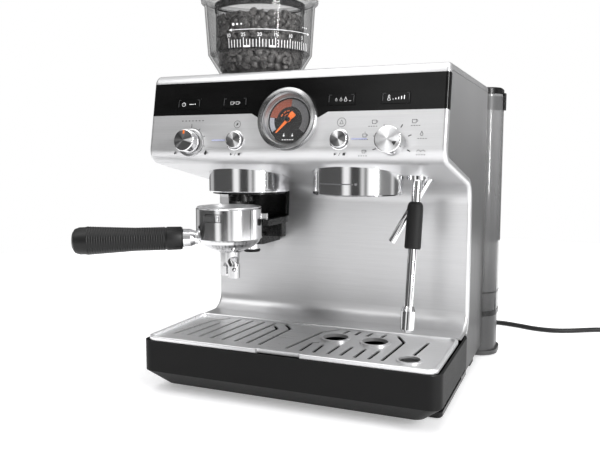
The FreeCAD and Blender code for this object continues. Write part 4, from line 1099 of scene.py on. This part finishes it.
# Painted highlight: a pale clear strip round each rear corner of the tank, where light shines through.
for name, side in (("tank_edge_left", -1), ("tank_edge_right", 1)):
    bm = bmesh.new()
    corner = (side * (TANK_HALF - TANK_CORNER), TANK_BACK - TANK_CORNER)
    outward = 90 - side * 90
    bend = (outward + side * 22, outward + side * 50, 6)
    inner, outer = arc(corner, TANK_CORNER + 0.02, *bend), arc(corner, TANK_CORNER + 0.3, *bend)
    slab(bm, inner + outer[::-1], LOCAL, 82.0, 303.0)
    finish_piece(name, bm, "water_tank", TANK_EDGE_HIGHLIGHT)


# ---- the cord
CORD_D = 6.4 * MM
FLOOR_Z = 3.2
CORD_EXIT = (96, 203, 17)
CORD_ROUTE = [
    CORD_EXIT, (96, 222, 15), (99, 243, 6.8), (109, 263, FLOOR_Z), (129, 279, FLOOR_Z),
    (156, 284, FLOOR_Z), (183, 277, FLOOR_Z), (207, 266, FLOOR_Z), (233, 264, FLOOR_Z),
    (258, 274, FLOOR_Z), (280, 289, FLOOR_Z), (303, 300, FLOOR_Z), (328, 303, FLOOR_Z),
]
COIL_AT = (352.0, 338.2)
COIL_WIDE, COIL_NARROW, COIL_UPPER = 38.2, 31.8, 9.6
COIL_TURNS, COIL_POINTS = 3.25, 14


def between(value, start, end):
    """0 before start, 1 after end, smooth in between."""
    t = min(1.0, max(0.0, (value - start) / (end - start)))
    return t * t * (3 - 2 * t)


def coil_point(turns):
    """The cord's centre after so many turns: nearly two on the floor, then up on top of them and out."""
    radius = COIL_WIDE - (COIL_WIDE - COIL_NARROW) * (between(turns, 0.8, 1.0) - between(turns, 2.6, 2.8))
    z = FLOOR_Z + (COIL_UPPER - FLOOR_Z) * between(turns, 1.6, 1.8)
    angle = 2 * math.pi * (turns - 0.25)
    return (COIL_AT[0] + radius * math.cos(angle), COIL_AT[1] + radius * math.sin(angle), z)


def make_cord():
    """The mains lead, from its strain relief across the table to the coil and the plug."""
    coil = [coil_point(turns) for turns in evenly(0, COIL_TURNS, round(COIL_TURNS * COIL_POINTS))]
    points = CORD_ROUTE + coil
    curve = bpy.data.curves.new("power_lead", "CURVE")
    curve.dimensions = "3D"
    curve.bevel_depth = CORD_D / 2
    curve.bevel_resolution = 6
    curve.resolution_u = 10
    curve.use_fill_caps = True
    spline = curve.splines.new("NURBS")
    spline.points.add(len(points) - 1)
    for point, place in zip(spline.points, points):
        point.co = (*[v * MM for v in place], 1.0)
    spline.order_u = 3
    spline.use_endpoint_u = True
    curve.materials.append(CORD_RUBBER)
    lead = new_object("power_lead", curve)
    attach(lead, "machine")
    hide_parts("power_cord", "cord_coil")


make_cord()


# ---- floor, light
def floor_paint():
    """Pale matt surface with painted light: it glows weakly near the object and more strongly away from it,
    fading into the white of the studio.
    """
    paint = Paint("floor_pale", grey(0.90), 0.6, Emission_Color=(1.0, 1.0, 1.0, 1.0))
    patches = paint.noise(60, detail=3.0)
    paint.colour(paint.tones(patches, grey(0.885), grey(0.91)))
    # Painted light: the floor's glow grows with distance from the object.
    painted_glow = paint.spread(paint.distance(), 0.30, 0.75, 0.35, 0.95)
    paint.link(painted_glow, paint.shader.inputs["Emission Strength"])
    return paint.roughness(paint.spread(patches, 0.55, 0.65)).material


def make_floor():
    radius = 1.25
    bm = bmesh.new()
    slab(bm, arc((0.08, 0.1), radius, 0, 355, 71), Matrix.Identity(4), -0.02, 0.0)
    mesh = bpy.data.meshes.new("floor")
    bm.to_mesh(mesh)
    bm.free()
    mesh.materials.append(floor_paint())
    new_object("floor", mesh)


def soft_box(name, at, aim, width, height, power):
    """A rectangular light; places and sizes in metres, power in watts."""
    data = bpy.data.lights.new(name, "AREA")
    data.shape, data.size, data.size_y, data.energy = "RECTANGLE", width, height, power
    lamp = new_object(name, data)
    lamp.location = at
    lamp.rotation_euler = (Vector(aim) - Vector(at)).to_track_quat("-Z", "Y").to_euler()


STUDIO_TURN = 112.81            # degrees from the panorama's seam to the direction towards the camera
STUDIO = [                      # (degrees from there towards the right, brightness from there on)
    (-145, 0.55), (-119, 0.10), (-43, 1.15), (-25, 0.07), (2, 0.95), (10, 0.18), (18, 1.35),
    (47, 0.28), (85, 0.80), (95, 0.16), (160, 0.12), (206, 0.14),
]
STUDIO_EDGE = 0.011             # half the width of a soft edge between two, in turns
WALL_TOP, CEILING_FROM, CEILING = 0.50, 0.72, 0.80      # sines of elevation, brightness


def make_world():
    """A white studio: soft panels of different brightness all round, a bright ceiling, white behind."""
    world = bpy.data.worlds.new("studio")
    nodes = Nodes(world)
    direction = nodes.add("TexCoord").outputs["Generated"]
    split, round_about = nodes.add("SeparateXYZ"), nodes.add("TexGradient", gradient_type="RADIAL")
    nodes.link(direction, split.inputs[0])
    nodes.link(direction, round_about.inputs["Vector"])
    stops = []
    for index, (angle, level) in enumerate(STUDIO):
        at = ((STUDIO_TURN + angle) / 360.0) % 1.0
        stops += [(at - STUDIO_EDGE, STUDIO[index - 1][1]), (at + STUDIO_EDGE, level)]
    stops = sorted((min(1.0, max(0.0, at)), level) for at, level in stops)
    walls = nodes.curve(round_about.outputs["Fac"], stops)
    rise = nodes.spread(split.outputs["Z"], 0.0, 1.0, WALL_TOP, CEILING_FROM)
    room = nodes.mixed(rise, walls, CEILING)
    seen = nodes.add("LightPath").outputs["Is Camera Ray"]
    nodes.link(nodes.mixed(seen, room, 1.0), nodes.tree.nodes["Background"].inputs["Color"])
    bpy.context.scene.world = world


make_floor()
make_world()
soft_box("key", (-0.9, -1.4, 2.0), (0, 0, 0.2), 1.2, 1.2, 12)
soft_box("strip", (1.32, -0.72, 0.7), (0, 0, 0.3), 0.13, 1.2, 22)
soft_box("top", (0.0, 0.1, 1.9), (0, 0, 0.2), 1.6, 1.6, 17)
bpy.context.scene.view_settings.view_transform = "Standard"
